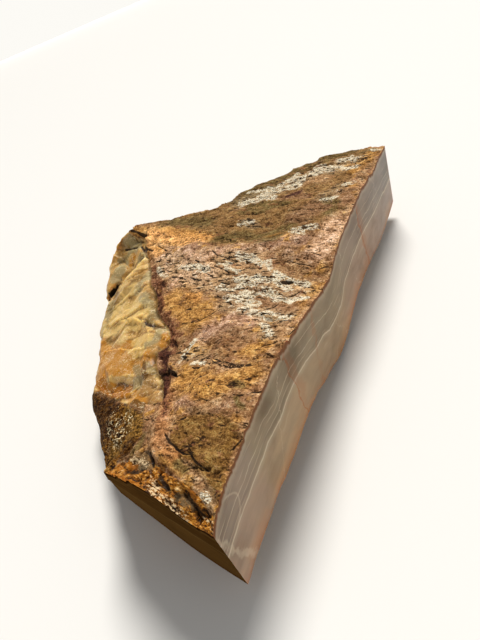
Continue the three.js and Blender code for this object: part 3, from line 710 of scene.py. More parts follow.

# %% [markdown]
# The slope's patches follow its facets: grey glass and mist where the crystal is clear,
# butter and gold where it is clouded, amber in the gaps, and dark as painted shade in the
# gaps and under ledges. The lump has a dark brown side, a clear side and rows of grains
# with painted glints, and the ledges of the strip have white edges and dark crevices of
# painted shade.

# %% Colour patches of the slope
SLOPE_PATCHES = {                                    # half width, path
    "glass": [
        (9, (419, 423), (425, 409), (432, 402)), (6, (173, 210), (161, 193)),
        (6, (172, 186), (163, 172)), (7, (242, 232), (232, 212), (226, 198)),
        (10, (409, 358), (397, 357), (394, 370)), (14, (263, 353), (293, 366), (313, 368)),
        (9, (281, 259), (264, 241), (248, 226)), (8, (52, 120), (54, 111), (51, 99)),
        (5, (43, 102), (45, 96), (43, 89)), (4, (20, 43), (19, 36), (17, 28))],
    "mist": [
        (11, (447, 409), (443, 397), (434, 384)), (13, (388, 416), (400, 416), (407, 412)),
        (8, (200, 203), (207, 196), (217, 192)), (8, (293, 275), (281, 257)),
        (8, (145, 203), (148, 192), (152, 183)), (12, (320, 297), (331, 290), (347, 290))],
    "sand": [(10, (144, 172), (139, 160), (125, 143))],
    "butter": [
        (20, (274, 341), (280, 318), (273, 289), (254, 254)), (4, (113, 146), (107, 136)),
        (10, (280, 367), (258, 345), (252, 318), (246, 270)), (7, (217, 241), (211, 219), (211, 206)),
        (8, (200, 231), (188, 207)), (14, (296, 342), (313, 338), (319, 317)),
        (5, (334, 361), (345, 345), (357, 335), (374, 330), (395, 330)),
        (3, (222, 212), (228, 203), (236, 194)),
        (4, (160, 284), (163, 262), (161, 247), (159, 228), (157, 206))],
    "gold": [
        (22, (187, 288), (185, 259), (175, 221), (173, 199)), (9, (222, 319), (208, 280), (210, 248)),
        (6, (161, 282), (155, 251), (157, 216)), (13, (156, 262), (150, 228), (140, 196), (124, 160)),
        (8, (413, 393), (421, 390), (427, 384)), (8, (212, 183), (199, 169), (190, 168)),
        (8, (242, 339), (218, 321), (190, 300), (167, 290))],
    "amber": [
        (4, (26, 32), (23, 24)), (10, (146, 275), (146, 245), (144, 225), (143, 208)),
        (5, (42, 71), (38, 59), (37, 51)), (8, (45, 143), (46, 133), (39, 114)),
        (4, (31, 135), (22, 101), (18, 80)), (7, (163, 283), (152, 254), (141, 222)),
        (4, (60, 98), (64, 112), (72, 124))],
    # dark patches: the lump's own dark brown, and painted shade in the slope's gaps, under ledges and in
    # the strip's crevices
    "dark": [
        (2, (152, 244), (155, 230), (154, 216)), (5, (124, 179), (119, 167), (112, 158)),
        (3.5, (174, 192), (163, 185), (154, 178)), (4.5, (240, 231), (232, 212), (227, 198)),
        (12, (139, 271), (125, 254), (109, 234), (94, 211)), (10, (134, 256), (130, 236), (122, 214)),
        (8, (65, 136), (67, 129), (70, 125)), (9, (62, 141), (54, 132)),
        (2.5, (31, 67), (26, 60), (22, 52)), (2.2, (22, 36), (18, 26), (14, 15)),
        (2.5, (57, 100), (52, 94), (47, 89)), (2, (44, 130), (36, 112), (33, 96))],
    "clear": [(13, (120, 181), (103, 158), (87, 142)), (8, (69, 174), (63, 157))],
    # rows of painted glints on the lump
    "painted_glint": [
        (3, (109, 220), (113, 212), (120, 206)), (6, (99, 198), (104, 188), (109, 178)),
        (7, (94, 211), (98, 201), (106, 190)), (8, (82, 197), (85, 180), (91, 171), (97, 168)),
        (5, (74, 174), (79, 164), (84, 158))],
    "white": [
        (3, (33, 80), (26, 69), (21, 60)), (5, (20, 70), (17, 57), (15, 49)),
        (4, (14, 52), (10, 41), (8, 30)), (2.5, (13, 16), (7, 6), (3, 1)),
        (5, (50, 120), (46, 107), (43, 97)), (3, (36, 128), (33, 122))],
}
print(sum(len(patches) for patches in SLOPE_PATCHES.values()), "patches in", len(SLOPE_PATCHES), "colours")

# %% [markdown]
# How far each corner lies below its surroundings tells where the materials paint shade,
# and how far it stands proud tells where they paint highlights. The mean of the
# surroundings comes from evening the heights out along the mesh's edges: a few rounds
# find the cracks, and many rounds find the wide valleys.

# %% Hollows and valleys
NARROW_ROUNDS, WIDE_ROUNDS = 4, 30

def store(name, values):
    """Keeps one number per corner of the stone under a name, which the materials read."""
    attribute = stone.data.attributes.new(name, "FLOAT", "POINT")
    attribute.data.foreach_set("value", np.asarray(values, float))

edges = np.empty(len(stone.data.edges) * 2, int)
stone.data.edges.foreach_get("vertices", edges)
starts, ends = edges.reshape(-1, 2).T
neighbours = np.bincount(edges, minlength=count)
final_normal = per_corner(stone.data, "normal")

def evened(values, rounds):
    """Each value moves half way to the mean of its neighbours', several times over."""
    for _ in range(rounds):
        total = np.bincount(starts, values[ends], count) + np.bincount(ends, values[starts], count)
        values = 0.5 * values + 0.5 * total / neighbours
    return values

def hollows(rounds):
    """How far each corner lies below the mean of its surroundings, in mm."""
    deep = np.zeros(count)
    for axis in range(3):
        deep += (evened(moved[:, axis], rounds) - moved[:, axis]) * final_normal[:, axis]
    return np.where(sawn, 0, deep)

hollow = hollows(NARROW_ROUNDS)
store("hollow", hollow)
store("valley", hollows(WIDE_ROUNDS))
print("hollows up to", round(float(hollow.max()), 2), "mm deep")

# %% [markdown]
# The patches become one number per corner each. Before a distance is measured, each
# corner strays a few millimetres by a slow noise, so no patch keeps the plain outline
# of its path. On the slope a whole facet tends to take a colour, or not to. A placed
# crack stores on which side of its path a corner lies and how far, so that the line
# drawn later can be finer than the mesh.

# %% Store the patches
SIDE_LIMIT = 9                                       # mm, farther off a crack isn't measured

strayed = points + np.column_stack(
    [3.5 * field(points, 13, 31), 4.5 * field(points, 13, 32), np.zeros(count)])

def patch_strength(patches):
    """1 along the middle of each patch, fading to 0 at about one and a half of its half widths."""
    strength = np.zeros(count)
    for half_width, *path in patches:
        gap = path_distance(path, strayed)
        strength = np.maximum(strength, 1 - smooth(gap, 0.2 * half_width, 1.6 * half_width))
    return strength

off_skin = 1 - kind["skin"]
on_top = 1 - smooth(kind["side"], 0.6, 1.0)
for name, patches in SKIN_PATCHES.items():           # maroon runs on over the skin's edge
    store(name, patch_strength(patches) * (1 if name == "maroon" else kind["skin"]) * on_top)
facet_part = 0.72 + 0.56 * plane_tone
for name, patches in SLOPE_PATCHES.items():
    strength = patch_strength(patches)
    speckle = 0.45 * (chip_tone - 0.5) * (strength > 0.08)
    store(name, np.clip(strength * facet_part + speckle, 0, 1.3) * off_skin * on_top)
for name, paths, part in (("crack", CRACKS, kind["skin"]), ("gully_shade", HOLLOWS, off_skin)):
    signed, width, _ = nearest_path(paths, points)
    store(name + " side", np.clip(signed, -SIDE_LIMIT, SIDE_LIMIT))
    store(name + " width", width * (1 - smooth(np.abs(signed), 3, 5)) * part)
rim = 0.72 * (1 - smooth(path_distance(PURPLE_RIM, points), 2, 11))
store("purple", np.maximum(rim, 1.15 * patch_strength(PURPLE_BLOTS)) * (1 - kind["side"]))
# where the hole's floor is painted near-black as shade
store("hole", 1 - smooth(to_hole, 4.5, 9.5))
# olive colour and painted shade beyond the crest
store("olive", past_crest * kind["skin"])
store("plate", within(PLATE, points, 4) * kind["skin"])
# where a dark band of painted shade lies at each flake's foot
store("foot", kind["skin"] * np.maximum(large_foot, 0.7 * small_foot))
store("tone", plane_tone * 0.75 + chip_tone * 0.25)
store("flat tone", strip_tone)
for name in ("honey", "lump", "strip", "side", "belly"):
    store(name, kind[name])
stored = [kept.name for kept in stone.data.attributes if kept.data_type == "FLOAT"]
print(len(stored), "numbers are stored at each corner")

# %% [markdown]
# The bands inside the block were laid down one on another and later folded. A fold line
# gives the height of the main pale band along the long cut, and each corner's height
# above that line is its bed, which the saw cuts and the rough sides share. A corner of
# a saw cut also keeps how far it is below the cut's rim and above its foot, because
# rust stays along both.

# %% Folded bands
FOLD = [                                             # x, height
    (-40, 74), (0, 76), (28, 82), (68, 86), (96, 89), (130, 84), (143, 88), (172, 90), (186, 87),
    (209, 81), (236, 75), (259, 70), (281, 60), (302, 57), (330, 58), (358, 73), (397, 77), (440, 78),
    (517, 71), (556, 68), (628, 65), (700, 66)]
FAR_FROM_EDGE = 99.0                                 # mm, for corners off the cuts

fold_x, fold_z = np.array(FOLD, float).T
bed = moved[:, 2] - np.interp(moved[:, 0] - 0.12 * moved[:, 1], fold_x, fold_z)
store("bed", bed)

def edge_height(chosen, along):
    """The height of a rough edge at each place along it."""
    order = np.argsort(along[chosen])
    return np.interp(along, along[chosen][order], moved[chosen, 2][order])

under_rim, over_foot = np.full((2, count), FAR_FROM_EDGE)
for on_cut, along in ((sawn_long, moved[:, 0]), (sawn_short, moved[:, 1])):
    rim_height = edge_height(on_cut & (normal[:, 2] > 0.3), along)
    foot_height = edge_height(on_cut & (normal[:, 2] < -0.2), along)
    under_rim = np.where(on_cut, rim_height - moved[:, 2], under_rim)
    over_foot = np.where(on_cut, moved[:, 2] - foot_height, over_foot)
store("under rim", under_rim)
store("over foot", over_foot)
print("beds from", round(float(bed.min())), "to", round(float(bed.max())), "mm about the main band")

# %% [markdown]
# A material is a small network. These helpers add a node with its settings and its
# inputs in one line, to the network of the material begun last: an input that is itself
# a node's output becomes a link. The first ones work on plain numbers.

# %% Helpers for the numbers in a material
def begin(name, **values):
    """Begins a material: the helpers below add their nodes to its network, called tree."""
    global tree
    material = principled(name, **values)
    tree = material.node_tree
    return material

def add_node(kind, inputs, **settings):
    new = tree.nodes.new(kind)
    for key, value in settings.items():
        setattr(new, key, value)
    for key, value in inputs.items():
        if isinstance(value, bpy.types.NodeSocket):
            tree.links.new(value, new.inputs[key])
        else:
            new.inputs[key].default_value = value
    return new

def connect(socket, value):
    """Links a value to the material's shader."""
    tree.links.new(value, tree.nodes["Principled BSDF"].inputs[socket])

def named(name):
    """A number that was stored at the stone's corners."""
    return add_node("ShaderNodeAttribute", {}, attribute_name=name).outputs["Fac"]

def maths(operation, *values):
    return add_node("ShaderNodeMath", dict(enumerate(values)), operation=operation).outputs[0]

def times(first, second):
    return maths("MULTIPLY", first, second)

def scaled(value, amount, base):
    """A value times an amount, added to a base."""
    return maths("MULTIPLY_ADD", value, amount, base)

def around(value, amount, base=0.0):
    """A noise's distance from its middle, times an amount, added to a base."""
    return scaled(maths("SUBTRACT", value, 0.5), amount, base)

def apart(value, at):
    """How far a value is from a number, above or below."""
    return maths("ABSOLUTE", maths("SUBTRACT", value, at))

def ramp_up(value, start, end):
    """0 at start and beyond, 1 at end and beyond, and an even curve in between."""
    return add_node("ShaderNodeMapRange", {"Value": value, "From Min": start, "From Max": end},
                    interpolation_type="SMOOTHSTEP").outputs["Result"]

number_helpers = (named, maths, times, scaled, around, apart, ramp_up)
print("helpers for numbers:", ", ".join(helper.__name__ for helper in number_helpers))

# %% [markdown]
# The others work on colours and noise. Colours are given as they look on a screen, and
# noise by the size of its lumps. It can be drawn out along an axis, turned, or laid in
# beds, as the stone's own grain is.

# %% Helpers for colour and noise
def blend(factor, first, second, mode="MIX"):
    return add_node("ShaderNodeMix", {0: factor, 6: first, 7: second},
                    data_type="RGBA", blend_type=mode).outputs[2]

def tinted(first, second):
    return blend(1.0, first, second, "MULTIPLY")

def paint(red, green, blue):
    """A colour given by its 0 to 255 screen values."""
    linear = [(c / 255 / 12.92) if c <= 10 else ((c / 255 + 0.055) / 1.055) ** 2.4
              for c in (red, green, blue)]
    return (*linear, 1)

def tones(value, *stops):
    """A colour ramp through (position, colour) stops."""
    new = add_node("ShaderNodeValToRGB", {"Fac": value})
    while len(new.color_ramp.elements) < len(stops):
        new.color_ramp.elements.new(0.5)
    for element, (place, colour) in zip(new.color_ramp.elements, stops):
        element.position = place
        element.color = colour
    return new.outputs["Color"]

def spots(place, size, detail=3, roughness=0.55, bend=0.0):
    """Noise around 0.5 with lumps of a size in millimetres."""
    return add_node("ShaderNodeTexNoise", {"Vector": place, "Scale": 1000 / size, "Detail": detail,
                    "Roughness": roughness, "Distortion": bend}).outputs["Fac"]

def stretched(*scale):
    """The place, squeezed along each axis: noise is drawn out where the number is small."""
    place = add_node("ShaderNodeTexCoord", {}).outputs["Object"]
    return add_node("ShaderNodeMapping", {"Vector": place, "Scale": scale}).outputs["Vector"]

def slanted(degrees, *scale):
    """The place turned about the upright axis and then drawn out, for grain that runs slantwise."""
    place = add_node("ShaderNodeTexCoord", {}).outputs["Object"]
    turn = (0, 0, math.radians(degrees))
    return add_node("ShaderNodeMapping", {"Vector": place, "Rotation": turn, "Scale": scale},
                    vector_type="TEXTURE").outputs["Vector"]

def layered(bed_value, size, detail, roughness):
    """Noise that changes only from one bed to the next."""
    level = add_node("ShaderNodeCombineXYZ", {"Z": times(bed_value, 0.001)}).outputs[0]
    return spots(level, size, detail, roughness)

print("screen mid grey is", round(paint(128, 128, 128)[0], 3), "in light")

# %% [markdown]
# One material covers all the broken surfaces, because its kinds fade into each other.
# It needs noise at several sizes, from washes of colour a few centimetres wide down to
# single grains. Each noise is made once here and shared by all the finishes. The skin's
# grain runs into the block, so its noise is longer that way.

# %% Noise for the broken stone
broken = begin("broken onyx", Subsurface_Scale=0.02, Subsurface_Radius=(1.0, 0.6, 0.25), IOR=1.5,
               Specular_IOR_Level=0.12, Coat_Roughness=0.22)

even_grain = stretched(1.0, 1.0, 1.0)
long_grain = stretched(1.0, 0.55, 1.0)
broad = spots(even_grain, 42, 4, 0.6)
hue = spots(stretched(1.3, 0.9, 1.0), 24, 4, 0.6)
other_hue = spots(stretched(0.9, 1.2, 1.3), 27, 3, 0.6)
patch = spots(long_grain, 11, 4, 0.62)
mottle = spots(long_grain, 9, 5, 0.68, 0.2)
flecks = spots(long_grain, 3.6, 4, 0.62, 0.3)
fine = spots(even_grain, 2.0, 2, 0.55)
hair = spots(stretched(1.0, 0.6, 1.0), 7, 2, 0.5, 0.8)
tick_noise = spots(stretched(1.5, 0.42, 1.0), 5, 1, 0.4, 0.6)

def frayed(name, fleck_amount, patch_amount, start, end):
    """A stored number with its border broken up by flecks and by wider noise."""
    return ramp_up(around(flecks, fleck_amount, around(patch, patch_amount, named(name))), start, end)

def ragged(name, noise_value=patch, amount=1.4, start=0.0, end=1.0):
    """A stored patch with its border broken up by one noise."""
    return ramp_up(around(noise_value, amount, named(name)), start, end)

print("the shared noise takes", len(tree.nodes), "nodes")

# %% [markdown]
# The skin's base is one set of tones, from dark pits to pale grains, that a mix of
# mottling, long flecks and fine grain picks from. Washes of gold, mauve and pink are
# multiplied over it, as thin stains are on the real skin: some come from noise, and the
# plainest are placed. The olive wash is also painted shade beyond the crest, and the
# cream wash is partly a painted highlight along the crest. Pale specks are painted over
# the whole skin as highlights on its grains.

# %% Tones and washes of the skin
mixed = around(mottle, 0.82, around(flecks, 0.44, around(fine, 0.46, 0.5)))
skin = tones(mixed, (0.29, paint(82, 56, 29)), (0.40, paint(142, 106, 66)), (0.50, paint(183, 143, 97)),
             (0.60, paint(213, 174, 124)), (0.72, paint(242, 215, 172)))
wash = blend(ramp_up(hue, 0.38, 0.48), (1.20, 1.02, 0.60, 1), (1.04, 1.01, 1.10, 1))
wash = blend(ramp_up(other_hue, 0.50, 0.58), wash, (0.84, 0.74, 0.82, 1))
wash = blend(ramp_up(broad, 0.38, 0.58), tinted(wash, (0.76, 0.72, 0.64, 1)), wash)
# olive is partly the skin's colour beyond the crest and partly painted shade there
for name, colour, amount in (
    ("olive", (0.61, 0.55, 0.40, 1), 0.95), ("pink", (1.16, 1.10, 1.16, 1), 0.85),
    ("ochre", (1.20, 0.98, 0.50, 1), 0.80), ("mauve", (0.66, 0.58, 0.64, 1), 0.85),
    ("plate", (0.50, 0.42, 0.22, 1), 0.95), ("crust", (0.94, 0.93, 0.94, 1), 0.70),
    ("moss", (0.36, 0.38, 0.26, 1), 0.95), ("russet", (1.02, 0.76, 0.62, 1), 0.80),
    ("peach", (1.46, 1.16, 0.72, 1), 0.85),
):
    wash = blend(times(ragged(name), amount), wash, colour)
# cream: a pale tint, which along the crest's near side is a painted highlight
wash = blend(times(ragged("cream_and_highlight"), 0.9), wash, tinted(wash, (1.42, 1.55, 2.0, 1)))
skin = tinted(skin, wash)
# painted highlights: pale specks on the grains all over the skin
grain_highlight = ramp_up(around(fine, 1.1, around(flecks, 0.9)), 0.12, 0.26)
skin = blend(times(grain_highlight, 0.42), skin, tinted(paint(246, 220, 168), wash))
print("up to the skin:", len(tree.nodes), "nodes")

# %% [markdown]
# The skin is scored with short dark ticks, where a flake has lifted, and with hairline
# cracks. Ticks are the darkest part of a noise that is drawn out along the grain, and
# hairlines are where another noise crosses its middle value. Both come in swarms, so a
# wider noise switches them on and off. Pits are the darkest grains.

# %% Ticks and hairline cracks
swarm = ramp_up(around(patch, 1.0, times(named("haze"), 0.16)), -0.06, 0.08)
ticks = times(ramp_up(tick_noise, 0.400, 0.360), swarm)
hairline = times(ramp_up(apart(hair, 0.5), 0.020, 0.005), ramp_up(mottle, 0.47, 0.55))
pit = ramp_up(around(fine, 0.9, around(flecks, 1.2)), -0.20, -0.30)
dark_mark = maths("MAXIMUM", times(hairline, 0.7), maths("MAXIMUM", times(pit, 0.8), times(ticks, 0.95)))
skin = blend(dark_mark, skin, paint(44, 27, 13))
print("up to the ticks:", len(tree.nodes), "nodes")

# %% [markdown]
# Lime has come out on the skin as a white crust. It is not a paint: it sits in curls
# and ragged islands, with bare dark pits between. A wide, thin haze lies round the
# islands, where the skin is greyer and more ticked. The curls are a band on either side
# of a noise's middle value, which makes them wind as the real ones do.

# %% White crust
near_crust = ramp_up(scaled(named("haze"), 0.5, named("crust")), 0.10, 0.40)
crust_edge = around(flecks, 2.2, scaled(named("haze"), 0.22, named("crust")))
crust_edge = around(mottle, 1.8, around(patch, 2.0, crust_edge))
curl = apart(spots(stretched(1.0, 0.75, 1.0), 6, 2, 0.5, 0.9), 0.5)
crust_tone = tones(around(fine, 0.30, curl), (0.00, paint(196, 178, 140)), (0.03, paint(240, 228, 198)),
                   (0.07, paint(255, 251, 232)), (0.14, paint(228, 210, 172)))
haze = around(patch, 1.6, around(flecks, 0.8, scaled(named("crust"), 0.4, named("haze"))))
haze = blend(times(ramp_up(haze, 0.10, 0.75), 0.60), skin, blend(0.40, skin, paint(208, 182, 142)))
curled = times(ramp_up(curl, 0.008, 0.024), ramp_up(curl, 0.125, 0.075))
dense = maths("MAXIMUM", curled, ramp_up(crust_edge, 1.20, 1.60))
island = times(ramp_up(crust_edge, 0.47, 0.73), near_crust)
skin = blend(times(island, times(dense, 0.96)), haze, crust_tone)
speck = ramp_up(around(fine, 1.3, around(flecks, 1.6)), -0.17, -0.28)
speck = maths("MAXIMUM", speck, ramp_up(tick_noise, 0.418, 0.376))
speck_tone = blend(ramp_up(mottle, 0.42, 0.58), paint(30, 22, 12), paint(78, 56, 34))
skin = blend(times(speck, ramp_up(named("haze"), 0.1, 0.6)), skin, speck_tone)
print("up to the crust:", len(tree.nodes), "nodes")

# %% [markdown]
# A dark purple-brown rim follows the edge where the skin ends and the honey slope
# begins. It is darkest and most granular of all, and swells into blots here and there.

# %% Purple rim
purple_tone = tones(mixed, (0.38, paint(48, 22, 14)), (0.48, paint(108, 62, 42)),
                    (0.58, paint(148, 94, 64)), (0.68, paint(196, 150, 108)))
skin = blend(times(frayed("purple", 3.0, 3.4, 0.38, 0.82), 0.88), skin, purple_tone)
maroon_tone = blend(ramp_up(mixed, 0.42, 0.60), paint(46, 22, 18), paint(92, 50, 40))
skin = blend(times(frayed("maroon", 2.2, 1.2, 0.35, 0.75), 0.9), skin, maroon_tone)
print("up to the purple rim:", len(tree.nodes), "nodes")

# %% [markdown]
# Beyond the rim the block is broken through to clear honey-coloured crystal. Each facet
# has its own tone, because it catches the light and the depth of the stone differently.
# Grey glassy, misty, buttery and amber zones are placed, with dark zones of painted
# shade in the gaps. Painted highlights make a few grains sparkle, and thin pale lines
# are painted over the crystal as highlights.

# %% Honey crystal
crystal_cloud = spots(stretched(1.0, 0.6, 1.0), 22, 3, 0.5)
crystal_value = around(flecks, 0.40, scaled(named("tone"), 0.16, 0.42))
crystal_value = around(crystal_cloud, 0.9, around(patch, 0.42, crystal_value))
crystal = tones(crystal_value, (0.30, paint(138, 106, 54)), (0.42, paint(176, 134, 73)),
                (0.51, paint(198, 153, 84)), (0.60, paint(212, 173, 104)), (0.74, paint(234, 205, 144)))
for name, colour, amount in (
    ("gold", paint(188, 124, 32), 0.80), ("glass", paint(134, 116, 74), 0.80),
    ("mist", paint(166, 150, 108), 0.80), ("butter", paint(228, 192, 116), 0.70),
    ("sand", paint(168, 128, 76), 0.90), ("amber", paint(148, 86, 4), 0.85),
    # dark: painted shade in the gaps between facets
    ("dark", paint(84, 50, 2), 0.85),
):
    crystal = blend(times(ragged(name, flecks if name == "dark" else patch, 1.1, 0.20, 0.70), amount),
                    crystal, colour)
for value, start, end, amount, colour in (
    # painted highlights: a few sparkling grains
    (around(fine, 1.0, around(flecks, 0.8)), 0.13, 0.26, 0.55, paint(248, 228, 180)),
    (around(fine, 0.7, around(flecks, 1.2)), -0.10, -0.24, 0.45, paint(112, 78, 26)),
    (around(hair, 1.0, 0.5), 0.30, 0.24, 0.5, paint(170, 112, 44)),
):
    crystal = blend(times(ramp_up(value, start, end), amount), crystal, colour)
# painted highlights: thin pale lines over the crystal
highlight_line = times(ramp_up(apart(hair, 0.5), 0.016, 0.003), times(ramp_up(crystal_cloud, 0.42, 0.52), 0.60))
crystal = blend(highlight_line, crystal, paint(252, 238, 200))
print("up to the honey crystal:", len(tree.nodes), "nodes")

# %% [markdown]
# The lump at the slope's left end is brown, wet-looking and sugary: dark on the left,
# with rows of grains in its middle that carry painted glints, and clear olive-brown on
# its right. Its grain runs slantwise.

# %% Sugary lump
streak = spots(slanted(136, 2.6, 0.9, 0.9), 4.2, 3, 0.6, 0.4)
soft_grit = around(fine, 0.6, around(flecks, 0.7, 0.5))
grit = around(fine, 0.6, around(streak, 1.0, 0.5))
lump_tone = tones(around(mottle, 0.6, around(streak, 0.6, soft_grit)), (0.34, paint(18, 6, 0)),
                  (0.45, paint(66, 36, 2)), (0.55, paint(112, 70, 10)), (0.66, paint(158, 108, 28)),
                  (0.78, paint(204, 160, 84)))
clear_tone = blend(ramp_up(soft_grit, 0.36, 0.66), paint(82, 56, 16), paint(168, 124, 54))
lump_tone = blend(times(ragged("clear", flecks, 0.8, 0.1, 0.7), 0.70), lump_tone, clear_tone)
dark_tone = blend(ramp_up(soft_grit, 0.38, 0.68), paint(30, 10, 0), paint(92, 52, 6))
lump_tone = blend(times(ragged("dark", patch, 1.0, 0.1, 0.7), 0.8), lump_tone, dark_tone)
# painted highlights: bright glints on grains, thickest along the placed rows
painted_glint = times(ramp_up(around(fine, 0.5, grit), 0.60, 0.66), scaled(named("painted_glint"), 1.2, 0.05))
lump_tone = blend(painted_glint, lump_tone, paint(250, 232, 186))
print("up to the lump:", len(tree.nodes), "nodes")

# %% [markdown]
# The strip above the short cut is a jumble of rusty ledges and grey crystal. Its grain
# runs along the cut, and the ledges' edges are bruised white.

# %% Strip of ledges
ledge = spots(slanted(77.5, 2.6, 0.8, 0.8), 3.2, 3, 0.70, 0.4)
strip_value = around(fine, 0.3, scaled(named("flat tone"), 0.12, 0.43))
strip_value = around(patch, 0.5, around(ledge, 0.9, strip_value))
strip_colour = tones(strip_value, (0.32, paint(26, 13, 2)), (0.42, paint(88, 52, 10)),
                     (0.51, paint(168, 104, 26)), (0.60, paint(200, 140, 54)), (0.70, paint(238, 204, 144)))
for name, wide, wide_amount, fine_amount, start, end, amount, colour in (
    ("amber", flecks, 2.4, 1.2, 0.30, 0.75, 0.60, paint(168, 100, 24)),
    ("glass", flecks, 2.4, 1.2, 0.30, 0.75, 0.75, paint(118, 98, 68)),
    # dark: painted shade in the strip's crevices
    ("dark", flecks, 2.4, 1.2, 0.30, 0.75, 0.85, paint(46, 28, 6)),
    ("white", ledge, 4.6, 2.6, 0.95, 1.35, 0.85, paint(232, 208, 166)),
):
    weight = ramp_up(around(wide, wide_amount, around(fine, fine_amount, named(name))), start, end)
    strip_colour = blend(times(weight, amount), strip_colour, colour)
print("up to the strip:", len(tree.nodes), "nodes")

# %% [markdown]
# The rough ends and the belly were never polished by weather. Their bands show as
# ragged tan and grey-brown layers, which follow the same beds as the saw cuts, with
# rust run down over them. The belly is the same stone, made a little darker and greyer.

# %% Rough ends and belly
layers = layered(around(mottle, 16.0, around(flecks, 5.0, named("bed"))), 13, 3, 0.6)
banding = around(layers, 1.1, around(mottle, 0.45, around(fine, 0.2, 0.5)))
end_tone = tones(banding, (0.28, paint(92, 62, 32)), (0.42, paint(142, 106, 62)),
                 (0.52, paint(176, 140, 90)), (0.62, paint(198, 168, 122)), (0.76, paint(222, 202, 164)))
rusty = times(ramp_up(around(patch, 1.0, around(broad, 1.2)), 0.02, 0.22), 0.7)
end_tone = blend(rusty, end_tone, paint(150, 92, 42))
end_tone = blend(times(dark_mark, 0.9), end_tone, paint(46, 30, 16))
end_tone = blend(times(named("belly"), 0.6), end_tone, tinted(end_tone, (0.86, 0.84, 0.82, 1)))
print("up to the ends:", len(tree.nodes), "nodes")

# %% [markdown]
# Now the kinds are laid together by their stored weights, each border broken up by
# flecks. Then painted shade is drawn: dark lines in the placed cracks and in the slope's
# gullies, a dark band at each flake's foot, and a near-black floor in the hole. A crack
# is where the stored side, strayed by noise, is nearer to 0 than its width.

# %% Put the kinds together
colour = blend(frayed("side", 1.0, 0.6, 0.60, 0.95), skin, end_tone)
colour = blend(ragged("honey", flecks, 0.8, 0.3, 0.7), colour, crystal)
colour = blend(frayed("lump", 1.6, 1.4, 0.2, 0.8), colour, lump_tone)
colour = blend(frayed("strip", 1.6, 0.8, 0.3, 0.7), colour, strip_colour)

def drawn_line(name, amount, share):
    """The placed paths as thin lines: 1 on the line and 0 beside it."""
    off = around(flecks, amount, around(patch, 1.5 * amount, named(name + " side")))
    width = times(named(name + " width"), share)
    return ramp_up(maths("SUBTRACT", width, maths("ABSOLUTE", off)), 0.0, 0.7)

# painted shade: dark lines in the placed cracks and dark bands at the flakes' feet
foot = ramp_up(around(flecks, 2.2, around(fine, 1.0, named("foot"))), 0.70, 1.00)
dark_line = maths("MAXIMUM", times(drawn_line("crack", 1.8, 0.55), 0.93), times(foot, 0.55))
colour = blend(dark_line, colour, paint(28, 18, 10))
# painted shade: dark lines along the gullies of the slope
colour = blend(times(drawn_line("gully_shade", 2.4, 0.62), 0.88), colour, paint(44, 26, 9))
# painted shade: the hole's floor painted near-black
colour = blend(ragged("hole", flecks, 1.5, 0.3, 0.6), colour, paint(14, 9, 4))
print("up to the drawn cracks:", len(tree.nodes), "nodes")

# %% [markdown]
# Last, painted shade darkens narrow hollows and wide valleys, and a painted highlight
# lightens proud edges. The crust keeps its hollows pale, and crystal edges get the
# brightest highlight.

# %% Painted shade and highlights
# painted shade in narrow hollows, less where the crust lies
hollow_shade = times(ramp_up(named("hollow"), 0.05, 0.9), scaled(named("crust"), -0.30, 0.52))
colour = blend(hollow_shade, colour, (0.27, 0.20, 0.13, 1), "MULTIPLY")
# painted shade in wide valleys
wide = times(ramp_up(named("valley"), 0.3, 2.6), 0.5)
colour = blend(wide, colour, (0.36, 0.28, 0.18, 1), "MULTIPLY")
# painted highlight on proud edges, strongest on the crystal
edge_highlight = times(ramp_up(times(named("hollow"), -1.0), 0.1, 0.9), scaled(named("honey"), 0.26, 0.30))
colour = blend(edge_highlight, colour, (1.45, 1.42, 1.32, 1), "MULTIPLY")
connect("Base Color", colour)
print("all the colours:", len(tree.nodes), "nodes")

# %% [markdown]
# Gloss tells the kinds apart as much as colour does. The skin is dry and matt. Crystal
# is smooth, lets light a little way in, and has a clear shine on top, which a coat gives.
# A bump map adds the finest grain, and hardly touches the crystal.

# %% Gloss, depth and grain
connect("Roughness", scaled(named("strip"), -0.22, scaled(named("honey"), -0.42, 0.88)))
shine = scaled(named("strip"), 0.06, times(named("honey"), 0.12))
connect("Coat Weight", times(shine, ramp_up(broad, 0.30, 0.55)))
connect("Subsurface Weight", times(named("honey"), 0.35))
relief = around(flecks, 0.62, around(fine, 0.30, around(mottle, 0.25, 0.5)))
relief = scaled(dark_mark, -0.10, relief)
calm = scaled(named("honey"), -0.88, 1.0)
bump = add_node("ShaderNodeBump", {"Height": times(relief, calm), "Strength": 0.8, "Distance": 0.005})
connect("Normal", bump.outputs["Normal"])
print("broken onyx has", len(tree.nodes), "nodes")

# %% [markdown]
# The saw cuts are smooth and matt, and light goes a little way into the pale one. Their
# bands read the bed number, so they follow the fold and meet around the corner. The
# face's tone drifts with a cloud noise, because the onyx is clearer in one place than
# another. Thin pale lines run along the beds and come and go, and a dark rust line stays
# under the skin, where water got in. Both cuts are laid up by this one class.

# %% Beds of a saw cut
BED_LINES = (                                        # bed in mm, width, strength, where it breaks off
    (0.0, 1.7, 0.60, (0.20, 0.40)), (-1.5, 6.0, 0.18, (0.30, 0.60)), (17.0, 1.1, 0.45, (0.42, 0.56)),
    (24.0, 0.9, 0.40, (0.56, 0.42)), (9.0, 0.9, 0.35, (0.44, 0.58)), (31.0, 0.8, 0.35, (0.46, 0.56)),
    (4.5, 0.7, 0.30, (0.54, 0.44)), (-14.0, 2.5, 0.14, (0.50, 0.60)))

